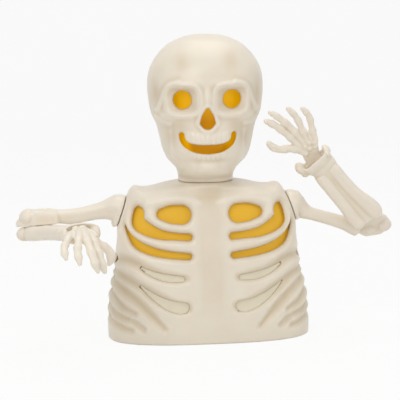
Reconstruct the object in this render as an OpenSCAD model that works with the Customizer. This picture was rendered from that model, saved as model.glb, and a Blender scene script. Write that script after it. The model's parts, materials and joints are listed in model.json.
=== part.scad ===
// Halloween skeleton figure: a lit half-length skeleton that stands on a table.
// Millimetres. +Z is up, the face looks along -Y, the figure's left hand is on +X.
// The origin is the middle of the resting face. The left hand waves, the right one droops.

/* [Torso] */
// Height of the neck seat above the table
torso_h = 200; // [192:1:210]
// Width of the torso at its base
base_w = 262; // [254:1:272]
// Width of the chest just under the arms
chest_w = 231; // [227:1:234]
// Depth of the torso at its base
base_d = 142; // [138:1:148]
// Wall of every moulded shell
wall = 3; // [2.4:0.1:3.4]
// Thickness of the plate that closes the base
base_t = 4; // [3.5:0.5:6]

/* [Skull] */
// Height of the skull above the neck seat
head_h = 194; // [188:1:204]
// Width of the skull at the temples
head_w = 150; // [144:1:156]
// Depth of the skull in front of the neck axis
head_front = 76; // [74:1:80]
// Depth of the skull behind the neck axis
head_back = 94; // [88:1:100]
// Turn of the face towards the drooping arm
head_turn = 3; // [0:1:6]
// Outside radius of the neck
neck_r = 36; // [34:0.5:38]
// Radius of each eye opening
eye_r = 11.5; // [9:0.5:12.5]
// Half of the distance between the eyes
eye_x = 30.5; // [29:0.5:32]

/* [Shoulders] */
// Distance of each shoulder seat inside the half width of the chest
shoulder_inset = 5.8; // [4:0.1:8]
// Depth of each shoulder seat under the neck seat
shoulder_drop = 35; // [33:0.5:38]
// Upward tilt of each shoulder axis, in degrees
shoulder_tilt = 18.9; // [16:0.1:21]
// Radius of each shoulder seat
shoulder_r = 20.8; // [19:0.1:21.5]
// Radius of the shoulder spigots
spigot_r = 7; // [6:0.5:8]

/* [Arms] */
// Length of the forearms from elbow to wrist pivot
forearm_l = 103; // [98:1:112]
// Thickness of the forearms
forearm_t = 19; // [17:0.5:21]
// Thickness of the elbow block at the end of each upper arm
elbow_t = 20.5; // [18:0.5:22]
// Radius of the elbow pivots
elbow_pin_r = 3; // [2.5:0.5:4]
// Radius of the wrist pivots
wrist_pin_r = 1.5; // [1.2:0.1:2]
// Half thickness of the hand at its pivot
wrist_r = 5.5; // [5:0.1:6]
// Thickness of the fingers
finger_d = 9; // [7.5:0.5:10]

/* [Power and light] */
// Diameter of one battery cell
cell_d = 14.3; // [13:0.1:14.5]
// Length of one battery cell
cell_l = 50.5; // [48:0.5:51]
// Thickness of the amber and pale liners
liner_t = 1.5; // [1:0.1:2]
// Thickness of the circuit boards
board_t = 1.6; // [1:0.1:2]
// Travel of the switch
switch_travel = 4; // [3:0.5:5]

/* [Fits] */
// Radial clearance of every turning pin
run_gap = 0.05; // [0.02:0.01:0.09]
// Clearance between parts that move past each other
body_gap = 0.3; // [0.2:0.05:0.5]
// Clearance of a part seated in another
seat_gap = 0.1; // [0.05:0.05:0.2]

/* [Hidden] */
$fn = 48;
ivory = "#e6dac4";
amber = "#e0a520";
pale = "#d3ccb8";
steel = "#b8bcc0";
eps = 0.01;

// ---- curves and shells --------------------------------------------------
function curve(p, q, r, s, f) =
  (2 * q + (r - p) * f + (2 * p - 5 * q + 4 * r - s) * f * f + (3 * q - p - 3 * r + s) * f * f * f) / 2;
// A value between the rows of a list of stations, with row 0 at u = 0
function station(rows, u) =
  let (n = len(rows) - 1, i = max(0, min(n - 1, floor(u))))
  curve(rows[max(0, i - 1)], rows[i], rows[i + 1], rows[min(n, i + 2)], u - i);
function spow(v, e) = sign(v) * pow(abs(v), e);
function bump(x, z, r) = exp(-pow(x / r[0], 2) - pow(z / r[1], 2));
function steps(from, to, n) = [for (i = [0:n]) from + (to - from) * i / n];
// The point d inside the surface f, which takes a turn in degrees and a station
function inset(f, a, u, d) =
  let (n = cross(f(a + 0.4, u) - f(a - 0.4, u), f(a, u + 0.02) - f(a, u - 0.02)))
  f(a, u) + n * (d / max(norm(n), 1e-6));

// A closed piece of wall between two depths under the surface f. With a crown
// the last station is one point.
module shell(f, turns, rows, d0, d1, crown = false, floor_z = undef) {
  m = len(rows);
  n = len(turns);
  pts = [for (d = [d0, d1]) for (a = turns) for (u = rows)
    let (p = inset(f, a, u, d))
    floor_z != undef && u == rows[0] ? [p[0], p[1], floor_z] : p];
  tops = crown ? [for (d = [d0, d1]) f(90, rows[m - 1] + 1) - [0, 0, d]] : [];
  side = function (k, i, j) j == m ? 2 * n * m + k : k * n * m + i * m + j;
  last = crown ? m : m - 1;
  quads = concat(
    [for (i = [0:n - 2]) for (j = [0:last - 1])
      [side(0, i, j), side(0, i + 1, j), side(0, i + 1, j + 1), side(0, i, j + 1)]],
    [for (i = [0:n - 2]) for (j = [0:last - 1])
      [side(1, i, j), side(1, i, j + 1), side(1, i + 1, j + 1), side(1, i + 1, j)]],
    [for (j = [0:last - 1]) [side(0, 0, j), side(0, 0, j + 1), side(1, 0, j + 1), side(1, 0, j)]],
    [for (j = [0:last - 1])
      [side(0, n - 1, j + 1), side(0, n - 1, j), side(1, n - 1, j), side(1, n - 1, j + 1)]],
    [for (i = [0:n - 2]) [side(0, i + 1, 0), side(0, i, 0), side(1, i, 0), side(1, i + 1, 0)]],
    crown ? [] : [for (i = [0:n - 2])
      [side(0, i, last), side(0, i + 1, last), side(1, i + 1, last), side(1, i, last)]]);
  tris = [for (q = quads) for (t = [[q[0], q[1], q[2]], [q[0], q[2], q[3]]])
    if (t[0] != t[1] && t[1] != t[2] && t[2] != t[0]) t];
  polyhedron(concat(pts, tops), tris, convexity = 8);
}

// A bone swept in a plane. Each row is [x, y, turn of the ring, half width, half depth, z].
module bone(rows, sides = 14) {
  n = len(rows);
  pts = [for (r = rows) for (k = [0:sides - 1])
    let (a = 360 * k / sides, w = r[3] * cos(a), d = r[4] * sin(a), tip = len(r) > 6 ? r[6] : 0)
    [r[0] - w * sin(r[2]) * cos(tip) - d * sin(tip), r[1] + w * cos(r[2]),
      r[5] - w * sin(r[2]) * sin(tip) + d * cos(tip)]];
  tris = [for (i = [0:n - 2]) for (k = [0:sides - 1])
    let (a = i * sides + k, b = i * sides + (k + 1) % sides)
    for (t = [[a, b + sides, b], [a, a + sides, b + sides]]) t];
  ends = [[for (k = [0:sides - 1]) k], [for (k = [sides - 1:-1:0]) (n - 1) * sides + k]];
  polyhedron(pts, concat(tris, ends), convexity = 6);
}

// ---- torso --------------------------------------------------------------
// Rows are [height, half width, depth in front, depth behind], from table to neck hole
hw = base_w / 2;
cw = chest_w / 2;
hd = base_d / 2;
neck_hole_r = neck_r - 10;
shoulder_x = cw - shoulder_inset;
shoulder_z = torso_h - shoulder_drop;
TORSO = [
  [0, hw, hd, hd - 1], [0.06 * torso_h, hw + 0.5, hd + 1, hd], [0.225 * torso_h, hw, hd + 2, hd],
  [0.4 * torso_h, hw - 5.5, hd + 0.5, hd - 2], [0.56 * torso_h, cw + 3.5, hd - 2, hd - 5],
  [0.65 * torso_h, cw + 1, hd - 4.5, hd - 8], [0.74 * torso_h, cw, hd - 8, hd - 11],
  [0.84 * torso_h, cw - 6.5, hd - 13, hd - 15], [0.92 * torso_h, cw - 12.5, hd - 18, hd - 21],
  [torso_h - 9, cw - 17.5, hd - 24, hd - 26], [torso_h - 5.5, cw - 27.5, hd - 28, hd - 30],
  [torso_h - 3, neck_r + 24, neck_r + 4, neck_r + 3], [torso_h, neck_r, neck_r, neck_r],
  [torso_h, neck_hole_r, neck_hole_r, neck_hole_r]
];
top_row = len(TORSO) - 1;
shoulder_row = 8;
torso_surface = function (a, u)
  let (s = station(TORSO, u), k = max(0, min(1, (u - 10) / 2)), e = 2 / (2.7 - 0.7 * k),
    x = s[1] * spow(cos(a), e), y = -(sin(a) > 0 ? s[2] : s[3]) * spow(sin(a), e),
    lift = max(0, min(1, (u - shoulder_row) / 1.5)) * max(0, min(1, top_row - 1 - u)))
  [x, y, s[0] + lift * (4 * bump(abs(x) - 95, 0, [9, 1]) - 2.2 * bump(abs(x) - 72, 0, [16, 1]))];
torso_rows = concat(steps(0, 10, 15), steps(10.75, top_row, 3));
front_turns = steps(0, 180, 28);
back_turns = steps(180, 360, 16);

// Below this share of the height the places of the ribs follow the base, above it the chest
rib_share = 0.55;
// From a chain's shares of half width and height to millimetres
function fitted(chain) = [for (c = chain)
  let (k = min(1, c[1] / rib_share))
  [c[0] * ((1 - k) * hw + k * cw), c[1] * torso_h, c[2]]];
// Openings between the ribs on one side, each a chain of discs [share of half width, share of
// height, radius]
TOP_GAP = [[0.329, 0.823, 11.3], [0.424, 0.833, 11.2], [0.545, 0.84, 7], [0.584, 0.842, 3.5]];
SIDE_GAP = [[0.797, 0.833, 9.5], [0.805, 0.787, 9.8], [0.727, 0.752, 8], [0.641, 0.723, 5.4],
  [0.494, 0.703, 4.1], [0.26, 0.687, 3.8]];
WAIST_GAP = [[0.957, 0.745, 1.5], [0.918, 0.695, 3.5], [0.861, 0.647, 5], [0.779, 0.611, 5.4],
  [0.675, 0.59, 5], [0.519, 0.579, 4.2], [0.26, 0.568, 3.7]];
UPPER_PANEL = [[0.777, 0.49, 2.4], [0.634, 0.453, 4.5], [0.471, 0.43, 5], [0.319, 0.426, 3.6]];
LOWER_PANEL = [[0.764, 0.375, 1.9], [0.614, 0.313, 4.9], [0.461, 0.26, 7.3], [0.354, 0.241, 8.2],
  [0.298, 0.24, 7.4]];
// All the openings
GAPS = [for (g = [TOP_GAP, SIDE_GAP, WAIST_GAP, UPPER_PANEL, LOWER_PANEL]) fitted(g)];
// Shallow channels that carry the ribs on round the sides
CHANNELS = [
  [[0.777, 0.49, 2], [0.943, 0.545, 2], [1.048, 0.575, 1.6]],
  [[0.764, 0.375, 1.8], [0.892, 0.39, 1.8], [1.042, 0.425, 1.6]],
  [[1.019, 0.4, 1.6], [0.877, 0.32, 2.2], [0.736, 0.26, 2.2], [0.596, 0.185, 2.2], [0.485, 0.115, 1.8]],
  [[0.82, 0.15, 3.4], [0.687, 0.1, 3.4]],
  [[1.034, 0.255, 1.8], [0.878, 0.205, 1.6]],
  [[1.036, 0.195, 1.8], [0.925, 0.16, 1.6]],
  [[1.003, 0.12, 1.8], [0.871, 0.085, 1.6]]
];
// Channels between the ribs of the back, from beside the spine down to the side
BACK_CHANNELS = [for (i = [0:4])
  let (start = [0.11, 0.855 - 0.065 * i], run = [0.65 + 0.043 * i, -0.065 - 0.02 * i])
  [for (f = [0, 0.5, 1]) [start[0] + run[0] * f, start[1] + run[1] * f * f, 2.4 * (1 - 0.4 * f)]]];
channel_d = 1.4;
channel_r = 4;

// A slot along Y through the discs of a chain, mirrored to both sides
module slots(chain, y0, y1) {
  for (s = [-1, 1]) for (i = [0:len(chain) - 2]) hull() for (c = [chain[i], chain[i + 1]])
    translate([s * c[0], y0, c[1]]) rotate([-90, 0, 0]) cylinder(r = c[2], h = y1 - y0, $fn = 12);
}
// The station of a list of rows at a height, found by halving
function row_at(rows, z, lo, hi, n = 16) =
  n == 0 ? (lo + hi) / 2 : let (m = (lo + hi) / 2)
  station(rows, m)[0] < z ? row_at(rows, z, m, hi, n - 1) : row_at(rows, z, lo, m, n - 1);
// Depth of the torso's outer surface at a place seen from the front (side -1) or the back (side 1)
function torso_y(x, z, side) =
  let (s = station(TORSO, row_at(TORSO, z, 0, 9)), k = min(1, abs(x) / s[1]))
  side * (side < 0 ? s[2] : s[3]) * pow(max(0, 1 - pow(k, 2.7)), 1 / 2.7);
// Outward direction of the torso's surface at a place on it
function torso_out(x, y, z) =
  let (s = station(TORSO, row_at(TORSO, z, 0, 9)), d = y < 0 ? s[2] : s[3],
    n = [sign(x) * pow(abs(x / s[1]), 1.7) / s[1], sign(y) * pow(abs(y / d), 1.7) / d, 0])
  n / norm(n);
// Twice as many places along a chain, the new ones halfway
function halved(chain) = [for (i = [0:2 * len(chain) - 2])
  (chain[floor(i / 2)] + chain[ceil(i / 2)]) / 2];
// A groove channel_d deep along a chain of [x, z, radius] on the surface, mirrored to both sides
module grooves(chain, side) {
  places = halved(chain);
  for (s = [-1, 1]) tube([for (c = places) let (y = torso_y(c[0], c[1], side))
    [s * c[0], y, c[1]] + torso_out(s * c[0], y, c[1]) * (channel_r + c[2] - channel_d)],
    [for (c = places) channel_r + c[2]], 10);
}
// A tube through points with a radius at each, its ends closed flat
module tube(path, radii, sides = 6) {
  n = len(path);
  pts = [for (i = [0:n - 1])
    let (t = path[min(n - 1, i + 1)] - path[max(0, i - 1)], p = cross(t, [0, 1, 0.1]), u = p / norm(p),
      w = cross(t, u) / norm(t))
    for (k = [0:sides - 1]) path[i] + radii[i] * (u * cos(360 * k / sides) + w * sin(360 * k / sides))];
  tris = [for (i = [0:n - 2]) for (k = [0:sides - 1])
    let (a = i * sides + k, b = i * sides + (k + 1) % sides)
    for (t = [[a, b + sides, b], [a, a + sides, b + sides]]) t];
  ends = [[for (k = [0:sides - 1]) k], [for (k = [sides - 1:-1:0]) (n - 1) * sides + k]];
  polyhedron(pts, concat(tris, ends), convexity = 6);
}

body_boss_r = 4.5;
screw_r = 1.5;
screw_head_r = 3.2;
screw_head_t = 2.2;
BODY_SCREWS = [[hw - 21, 0.14 * torso_h], [hw - 21, 0.36 * torso_h], [neck_r + 8, torso_h - 13]];
body_screw_l = 24;
body_head_y = 10;
base_boss_r = 6.8;
base_boss_h = 12;
base_screw_x = hw - 32.5;
base_screw_in = 9.6;
BASE_SCREWS = [for (s = [-1, 1]) for (side = [-1, 1])
  [s * base_screw_x, torso_y(base_screw_x, base_boss_h / 2, side) - side * base_screw_in]];
top_liner_d = 9.5;
low_liner_d = wall + 0.45;
chest_rows = [3.8, 8.1];
belly_rows = [1.4, 3.72];

// Frames of the shoulders: local +Z leaves the body along the shoulder axis
module at_shoulder(side) {
  translate([side * shoulder_x, 0, shoulder_z]) rotate([0, side * (90 - shoulder_tilt), 0]) children();
}
seat_depth = 8;
bush_r = spigot_r + 3.9;
bush_flange_t = 2.4;
washer_t = 1.8;

// What lies outside the middle of the wall, on one side of the seam
module outside(side) {
  shell(torso_surface, steps(side < 0 ? 0 : 180, side < 0 ? 180 : 360, 12), concat(steps(0, 10, 8), [11, 12]),
    -30, wall / 2);
}
// Half of the torso; side is -1 for the front, 1 for the back
module torso_half(side, turns) {
  difference() {
    union() {
      shell(torso_surface, turns, torso_rows, 0, wall, floor_z = 0);
      // seats of the shoulder bushes, cut to this half
      intersection() {
        for (s = [-1, 1]) at_shoulder(s) translate([0, 0, -seat_depth])
          cylinder(r = shoulder_r, h = seat_depth, $fn = 24);
        translate([-base_w, side < 0 ? -base_d : 0, 0]) cube([2 * base_w, base_d, torso_h]);
      }
      difference() {
        union() {
          // screw bosses from the wall to the seam, and those of the base screws
          for (b = BODY_SCREWS) for (s = [-1, 1]) translate([s * b[0], 0, b[1]]) rotate([-side * 90, 0, 0])
            cylinder(r = body_boss_r, h = abs(torso_y(b[0], b[1], side)) + 6, $fn = 10);
          for (b = BASE_SCREWS) if (b[1] * side > 0) translate([b[0], b[1], base_t + seat_gap])
            cylinder(r = base_boss_r, h = base_boss_h, $fn = 10);
        }
        outside(side);
      }
      children();
    }
    for (s = [-1, 1]) at_shoulder(s) {
      translate([0, 0, -seat_depth - eps]) cylinder(r = bush_r + 2 * seat_gap, h = seat_depth + 1, $fn = 24);
      cylinder(r = shoulder_r + 0.8, h = 20, $fn = 24);
    }
    for (b = BASE_SCREWS) translate([b[0], b[1], 0])
      cylinder(r = screw_r + run_gap, h = base_boss_h + 2, $fn = 14);
    for (b = BODY_SCREWS) for (s = [-1, 1]) translate([s * b[0], 0, b[1]]) rotate([-90, 0, 0]) {
      translate([0, 0, body_head_y - body_screw_l])
        cylinder(r = screw_r + run_gap, h = 2 * body_screw_l, $fn = 14);
      translate([0, 0, body_head_y]) cylinder(r = screw_head_r + 0.3, h = base_d, $fn = 14);
    }
  }
}

module torso_front() {
  color(ivory) difference() {
    torso_half(-1, front_turns) {
      // ribs behind the breastbone that carry the two liners
      shell(torso_surface, steps(86, 94, 2), steps(7.6, 8.05, 2), wall / 2, top_liner_d - seat_gap);
      shell(torso_surface, steps(86, 94, 2), steps(4.85, 5.2, 2), wall / 2, top_liner_d - seat_gap);
    }
    for (g = GAPS) slots(g, -base_d, 0);
    for (c = CHANNELS) grooves(fitted(c), -1);
  }
}

// Battery bay in the back: its middle height, the size of its door, and its planes along Y
bay_z = 56;
cells = 3;
bay_w = cell_l + 9;
bay_h = cells * cell_d + 4;
bay_wall = 1.8;
frame_w = bay_w + 14;
frame_h = bay_h + 12;
frame_y = torso_y(0, bay_z, 1) + 1.6;
frame_t = 4;
tray_floor_y = frame_y - frame_t - cell_d - 3.5;
lip_y = torso_y(frame_w / 2 + 3, bay_z + frame_h / 2 + 2.5, 1) - wall - 0.5;
door_t = 2;
door_w = bay_w + 7;
door_h = bay_h + 5;
hinge_r = 1;
barrel_r = 1.9;
hinge_z = bay_z + door_h / 2 - barrel_r - 0.2;
hinge_y = frame_y - 0.7;
door_screw_z = bay_z - door_h / 2 + 3.2;
switch_z = 104;
switch_y = torso_y(0, switch_z, 1);
knob_w = 5;

module torso_back() {
  color(ivory) difference() {
    torso_half(1, back_turns) {
      // posts of the lamp board
      difference() {
        for (s = [-1, 1]) translate([s * post_x, board_y + board_t, lamp_z]) rotate([-90, 0, 0])
          cylinder(r = 4, h = torso_y(post_x, lamp_z, 1) - board_y, $fn = 12);
        outside(1);
      }
    }
    translate([-frame_w / 2 - seat_gap, lip_y - 10, bay_z - frame_h / 2 - seat_gap])
      cube([frame_w + 2 * seat_gap, 40, frame_h + 2 * seat_gap]);
    translate([-(knob_w + switch_travel) / 2 - 0.5, switch_y - 10, switch_z - 2.3])
      cube([knob_w + switch_travel + 1, 20, 4.6]);
    for (s = [-1, 1]) translate([s * post_x, board_y, lamp_z]) rotate([-90, 0, 0])
      cylinder(r = 1, h = 8, $fn = 12);
    for (c = BACK_CHANNELS) grooves(fitted(c), 1);
  }
}

// The plate inside the foot of the torso, with its under face on the table
module base_plate() {
  color(ivory) difference() {
    linear_extrude(base_t) polygon([for (a = concat(front_turns, back_turns)) if (a > 0)
      let (p = inset(torso_surface, a, 0.02, wall + seat_gap + 0.15)) [p[0], p[1]]]);
    for (b = BASE_SCREWS) translate([b[0], b[1], -1]) {
      cylinder(r = screw_r + 0.1, h = base_t + 2);
      cylinder(r = screw_head_r + 0.2, h = 1 + screw_head_t + 0.3);
    }
  }
}

// A self-tapping screw along +Z, its head's under side at z = 0
module screw(r, l, head_r, head_t) {
  rotate_extrude() polygon([[0, l], [r * 0.4, l], [r, l - 1.5 * r], [r, 0], [head_r, 0],
    [head_r, -head_t * 0.5], [head_r * 0.6, -head_t], [0, -head_t]]);
}
module base_screws() {
  color(steel) for (b = BASE_SCREWS) translate([b[0], b[1], screw_head_t + 0.3])
    screw(screw_r, base_boss_h - 1, screw_head_r, screw_head_t);
}
module body_screws() {
  color(steel) for (b = BODY_SCREWS) for (s = [-1, 1]) translate([s * b[0], body_head_y, b[1]])
    rotate([90, 0, 0]) screw(screw_r, body_screw_l - 2, screw_head_r, screw_head_t);
}

module chest_diffuser() {
  color(amber) shell(torso_surface, steps(24, 156, 22), steps(chest_rows[0], chest_rows[1], 6),
    top_liner_d, top_liner_d + liner_t);
}
module belly_panel() {
  color(pale) shell(torso_surface, steps(43, 137, 16), steps(belly_rows[0], belly_rows[1], 5),
    low_liner_d, low_liner_d + liner_t);
}

// Lamp board behind the chest liner
lamp_z = torso_h - 62;
board_y = 20;
board_w = 46;
board_h = 30;
post_x = 16;
led_r = 2.5;
led_pitch = 14;
module chest_lamp_board() {
  color("darkgreen") difference() {
    translate([-board_w / 2, board_y, lamp_z - board_h / 2]) cube([board_w, board_t, board_h]);
    for (s = [-1, 1]) translate([s * post_x, board_y - 1, lamp_z]) rotate([-90, 0, 0])
      cylinder(r = 1.2, h = board_t + 2);
  }
}
module led(h) {
  rotate_extrude() polygon(concat([[0, 0], [led_r + 0.5, 0], [led_r + 0.5, 1], [led_r, 1]],
    [for (a = [0:15:90]) [led_r * cos(a), h - led_r + led_r * sin(a)]]));
}
module chest_lamps() {
  color("gold") for (i = [-1:1]) translate([i * led_pitch, board_y, lamp_z + 8]) rotate([90, 0, 0]) led(7);
}
module board_screws() {
  color(steel) for (s = [-1, 1]) translate([s * post_x, board_y, lamp_z]) rotate([-90, 0, 0])
    screw(0.95, 7, 2.2, 1.3);
}

// Battery bay: a tray and frame that close a window of the back, and its door
module box_y(w, h, y0, y1, z = bay_z) {
  translate([-w / 2, y0, z - h / 2]) cube([w, y1 - y0, h]);
}
module battery_box() {
  color(ivory) difference() {
    union() {
      box_y(frame_w, frame_h, lip_y - 1.5, frame_y);
      box_y(frame_w + 6, frame_h + 5, lip_y - 1.5, lip_y);
      box_y(bay_w + 2 * bay_wall, bay_h + 2 * bay_wall, tray_floor_y - bay_wall, frame_y - 1);
    }
    box_y(bay_w, bay_h, tray_floor_y, frame_y + 1);
    box_y(door_w + 2 * body_gap, door_h + 2 * body_gap, frame_y - door_t - body_gap, frame_y + 1);
    // room for the turning barrel
    translate([-door_w / 2 - body_gap, hinge_y, hinge_z]) rotate([0, 90, 0])
      cylinder(r = barrel_r + body_gap, h = door_w + 2 * body_gap);
    translate([-frame_w / 2 + 2, hinge_y, hinge_z]) rotate([0, 90, 0])
      cylinder(r = hinge_r + 0.01, h = frame_w - 4);
    translate([0, frame_y - door_t - 6, door_screw_z]) rotate([-90, 0, 0]) cylinder(r = 2, h = 10);
  }
}
module battery_door() {
  color(ivory) difference() {
    union() {
      translate([-door_w / 2, frame_y - door_t, bay_z - door_h / 2])
        cube([door_w, door_t, hinge_z - bay_z + door_h / 2]);
      translate([-door_w / 2, hinge_y, hinge_z]) rotate([0, 90, 0]) cylinder(r = barrel_r, h = door_w);
      // finger rib
      translate([-12, frame_y - eps, bay_z - door_h / 2 + 7]) cube([24, 1, 2]);
    }
    translate([-door_w / 2 - 1, hinge_y, hinge_z]) rotate([0, 90, 0])
      cylinder(r = hinge_r + run_gap, h = door_w + 2);
    translate([0, frame_y - door_t - 1, door_screw_z]) rotate([-90, 0, 0]) cylinder(r = 1.31, h = 5);
    translate([0, frame_y - 0.9, door_screw_z]) rotate([-90, 0, 0]) cylinder(r = 2.6, h = 5);
  }
}
module door_hinge_pin() {
  color(steel) translate([-frame_w / 2 + 2, hinge_y, hinge_z]) rotate([0, 90, 0])
    cylinder(r = hinge_r, h = frame_w - 4);
}
module door_screw() {
  color(steel) translate([0, frame_y - 0.9, door_screw_z]) rotate([90, 0, 0]) screw(1.3, 5, 2.5, 0.8);
}
module battery_cells() {
  color("dimgray") for (i = [0:cells - 1]) let (s = i % 2 == 0 ? 1 : -1)
    translate([0, tray_floor_y + 0.3 + cell_d / 2, bay_z + (i - (cells - 1) / 2) * (cell_d + 0.5)])
    rotate([0, 90 * s, 0]) translate([0, 0, -cell_l / 2]) {
      cylinder(r = cell_d / 2, h = cell_l - 1);
      cylinder(r = 2.7, h = cell_l);
    }
}
// Contact plates on the end walls, a coiled spring at each flat end
contact_t = 0.5;
module battery_contacts() {
  color(steel) for (i = [0:cells - 1]) let (s = i % 2 == 0 ? 1 : -1)
    translate([0, tray_floor_y + 0.3 + cell_d / 2, bay_z + (i - (cells - 1) / 2) * (cell_d + 0.5)])
    for (e = [-1, 1]) translate([e * (bay_w / 2 - contact_t - 0.05), 0, 0]) {
      translate([e < 0 ? -contact_t : 0, -5, -5]) cube([contact_t, 10, 10]);
      if (e * s < 0) rotate([0, -90 * e, 0]) rotate_extrude() polygon(concat([[1.5, 0]],
        [for (k = [0:7]) [4.4 - 0.2 * k - (k % 2 == 0 ? 0 : 0.5), 0.45 * k]], [[1.5, 3.15]]));
      else rotate([0, -90 * e, 0]) cylinder(r = 2, h = bay_w / 2 - contact_t - 0.15 - cell_l / 2);
    }
}

// Switch above the bay
housing_t = 8;
module switch_housing() {
  color("dimgray") difference() {
    box_y(20, 11, switch_y - wall - 1 - housing_t, switch_y - wall - 1, switch_z);
    box_y(8 + switch_travel + 0.8, 7, switch_y - wall - 3.4, switch_y, switch_z);
  }
}
module switch_slider() {
  color("black") translate([-switch_travel / 2, 0, 0]) {
    box_y(8, 6.4, switch_y - wall - 3.2, switch_y - wall - 1, switch_z);
    box_y(knob_w, 4, switch_y - wall - 1.1, switch_y + 1.4, switch_z);
  }
}
// Lead from the bay to the boards: up the back, then along the neck axis
lead_r = 1.1;
module lamp_lead() {
  behind_board = board_y + board_t + lead_r + seat_gap;
  path = [
    [20, tray_floor_y - bay_wall - lead_r, bay_z + 10], [20, behind_board + 5, lamp_z - board_h / 2 - 8],
    [8, behind_board, lamp_z - 8], [8, behind_board, lamp_z + board_h / 2 + 1],
    [0, 8, torso_h - 32], [0, 0, torso_h - 22], [0, 0, flange_z + flange_t - 0.6]
  ];
  color("white") tube(path, [for (p = path) lead_r], 8);
}

// ---- neck ---------------------------------------------------------------
seat_t = 3;
spigot_tube_r = neck_hole_r - 6;
spigot_wall = 5;
bearing_drop = 3.4;
flange_z = torso_h + 4;
flange_t = 4;
neck_inner_r = neck_r - wall;
bearing_foot_z = torso_h - seat_t - bearing_drop;
retainer_t = 3;
retainer_z = bearing_foot_z - body_gap - retainer_t;
module ring(r0, r1, z0, z1) {
  rotate_extrude() polygon([[r0, z0], [r1, z0], [r1, z1], [r0, z1]]);
}
// Bush that both torso halves clamp in the neck hole
module neck_bearing() {
  color("whitesmoke") rotate_extrude() polygon([
    [spigot_tube_r + run_gap, bearing_foot_z], [neck_hole_r + 3, bearing_foot_z],
    [neck_hole_r + 3, torso_h - seat_t - 0.3], [neck_hole_r - 0.4, torso_h - seat_t - 0.3],
    [neck_hole_r - 0.4, torso_h - 0.1], [spigot_tube_r + run_gap, torso_h - 0.1]]);
}
// Spigot that both skull halves clamp by its flange
module neck_spigot() {
  color("whitesmoke") difference() {
    rotate_extrude() polygon([
      [spigot_tube_r - spigot_wall, bearing_foot_z - body_gap], [spigot_tube_r, bearing_foot_z - body_gap],
      [spigot_tube_r, flange_z], [neck_inner_r - 0.4, flange_z], [neck_inner_r - 0.4, flange_z + flange_t],
      [spigot_tube_r - spigot_wall, flange_z + flange_t]]);
    neck_screw_places() cylinder(r = 1.25, h = 9);
  }
}
module neck_retainer() {
  color("whitesmoke") difference() {
    ring(spigot_tube_r - spigot_wall, neck_hole_r, retainer_z, retainer_z + retainer_t);
    neck_screw_places() translate([0, 0, -retainer_t - 1]) cylinder(r = 1.3, h = retainer_t + 2);
  }
}
module neck_screw_places() {
  for (a = [30, 150, 270]) rotate([0, 0, a])
    translate([spigot_tube_r - spigot_wall / 2, 0, retainer_z + retainer_t]) children();
}
module neck_screws() {
  color(steel) neck_screw_places() translate([0, 0, -retainer_t]) screw(1.2, retainer_t + 7, 2.2, 1.5);
}

// ---- skull --------------------------------------------------------------
// Rows are [height, half width, depth in front, depth behind], from neck to crown
sw = head_w / 2;
sf = head_front;
sb = head_back;
seam_gap = 0.3;
neck_h = 9.7;
SKULL = [
  [torso_h + seam_gap, neck_r, neck_r, neck_r],
  [torso_h + 0.6 * neck_h, neck_r, neck_r + 1, neck_r],
  [torso_h + neck_h, neck_r + 0.5, neck_r + 11, neck_r + 0.5],
  [torso_h + 1.4 * neck_h, neck_r + 1.5, sf - 14, neck_r + 2],
  [torso_h + 0.105 * head_h, neck_r + 5, sf - 9, neck_r + 7],
  [torso_h + 0.16 * head_h, sw - 24, sf - 6, sb - 40],
  [torso_h + 0.225 * head_h, sw - 18, sf - 4, sb - 28],
  [torso_h + 0.3 * head_h, sw - 14.5, sf - 4, sb - 16],
  [torso_h + 0.39 * head_h, sw - 10.5, sf - 5, sb - 7],
  [torso_h + 0.475 * head_h, sw - 3.5, sf - 4, sb - 2],
  [torso_h + 0.575 * head_h, sw - 0.5, sf - 2, sb],
  [torso_h + 0.67 * head_h, sw, sf, sb - 1],
  [torso_h + 0.755 * head_h, sw - 2.5, sf - 2, sb - 6],
  [torso_h + 0.825 * head_h, sw - 9, sf - 8, sb - 13],
  [torso_h + 0.885 * head_h, sw - 17.5, sf - 17, sb - 23],
  [torso_h + 0.935 * head_h, sw - 28, sf - 28, sb - 36],
  [torso_h + 0.97 * head_h, sw - 41, sf - 40, sb - 51],
  [torso_h + 0.993 * head_h, sw - 56, sf - 56, sb - 70],
  [torso_h + head_h, 0, 0, 0]
];
crown_row = len(SKULL) - 1;
eye_z = torso_h + 0.57 * head_h;
nose_z = torso_h + 0.44 * head_h;
mouth_z = torso_h + 0.25 * head_h;
function socket(x, z) = exp(-pow(pow((abs(x) - eye_x) / 17, 2) + pow((z - eye_z) / 15, 2), 2));
// How far the face stands out of the plain skull at a place
function relief(x, z) =
  5 * bump(x, z - eye_z + 2, [7, 13]) + 3.5 * bump(abs(x) - eye_x, z - eye_z - 19, [20, 7])
  + 4 * bump(abs(x) - 50, z - eye_z + 22, [12, 9]) - 6 * bump(abs(x) - 49, z - eye_z + 48, [11, 14])
  + 5 * bump(x, z - mouth_z - 10, [30, 21]) + 4 * bump(x, z - torso_h - 22, [20, 9]) - 9 * socket(x, z);
skull_surface = function (a, u)
  u > crown_row ? [0, 0, torso_h + head_h] :
  let (s = station(SKULL, u), e = 2 / 2.25, front = max(0, sin(a)),
    x = s[1] * spow(cos(a), e), y = -(sin(a) > 0 ? s[2] : s[3]) * spow(sin(a), e))
  [x, y - relief(x, s[0]) * pow(front, 1.5) * min(1, u / 3), s[0]];
skull_rows = concat([0, 1, 2, 3], steps(4, 15.5, 20), [16.5, crown_row - 0.4]);
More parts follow.
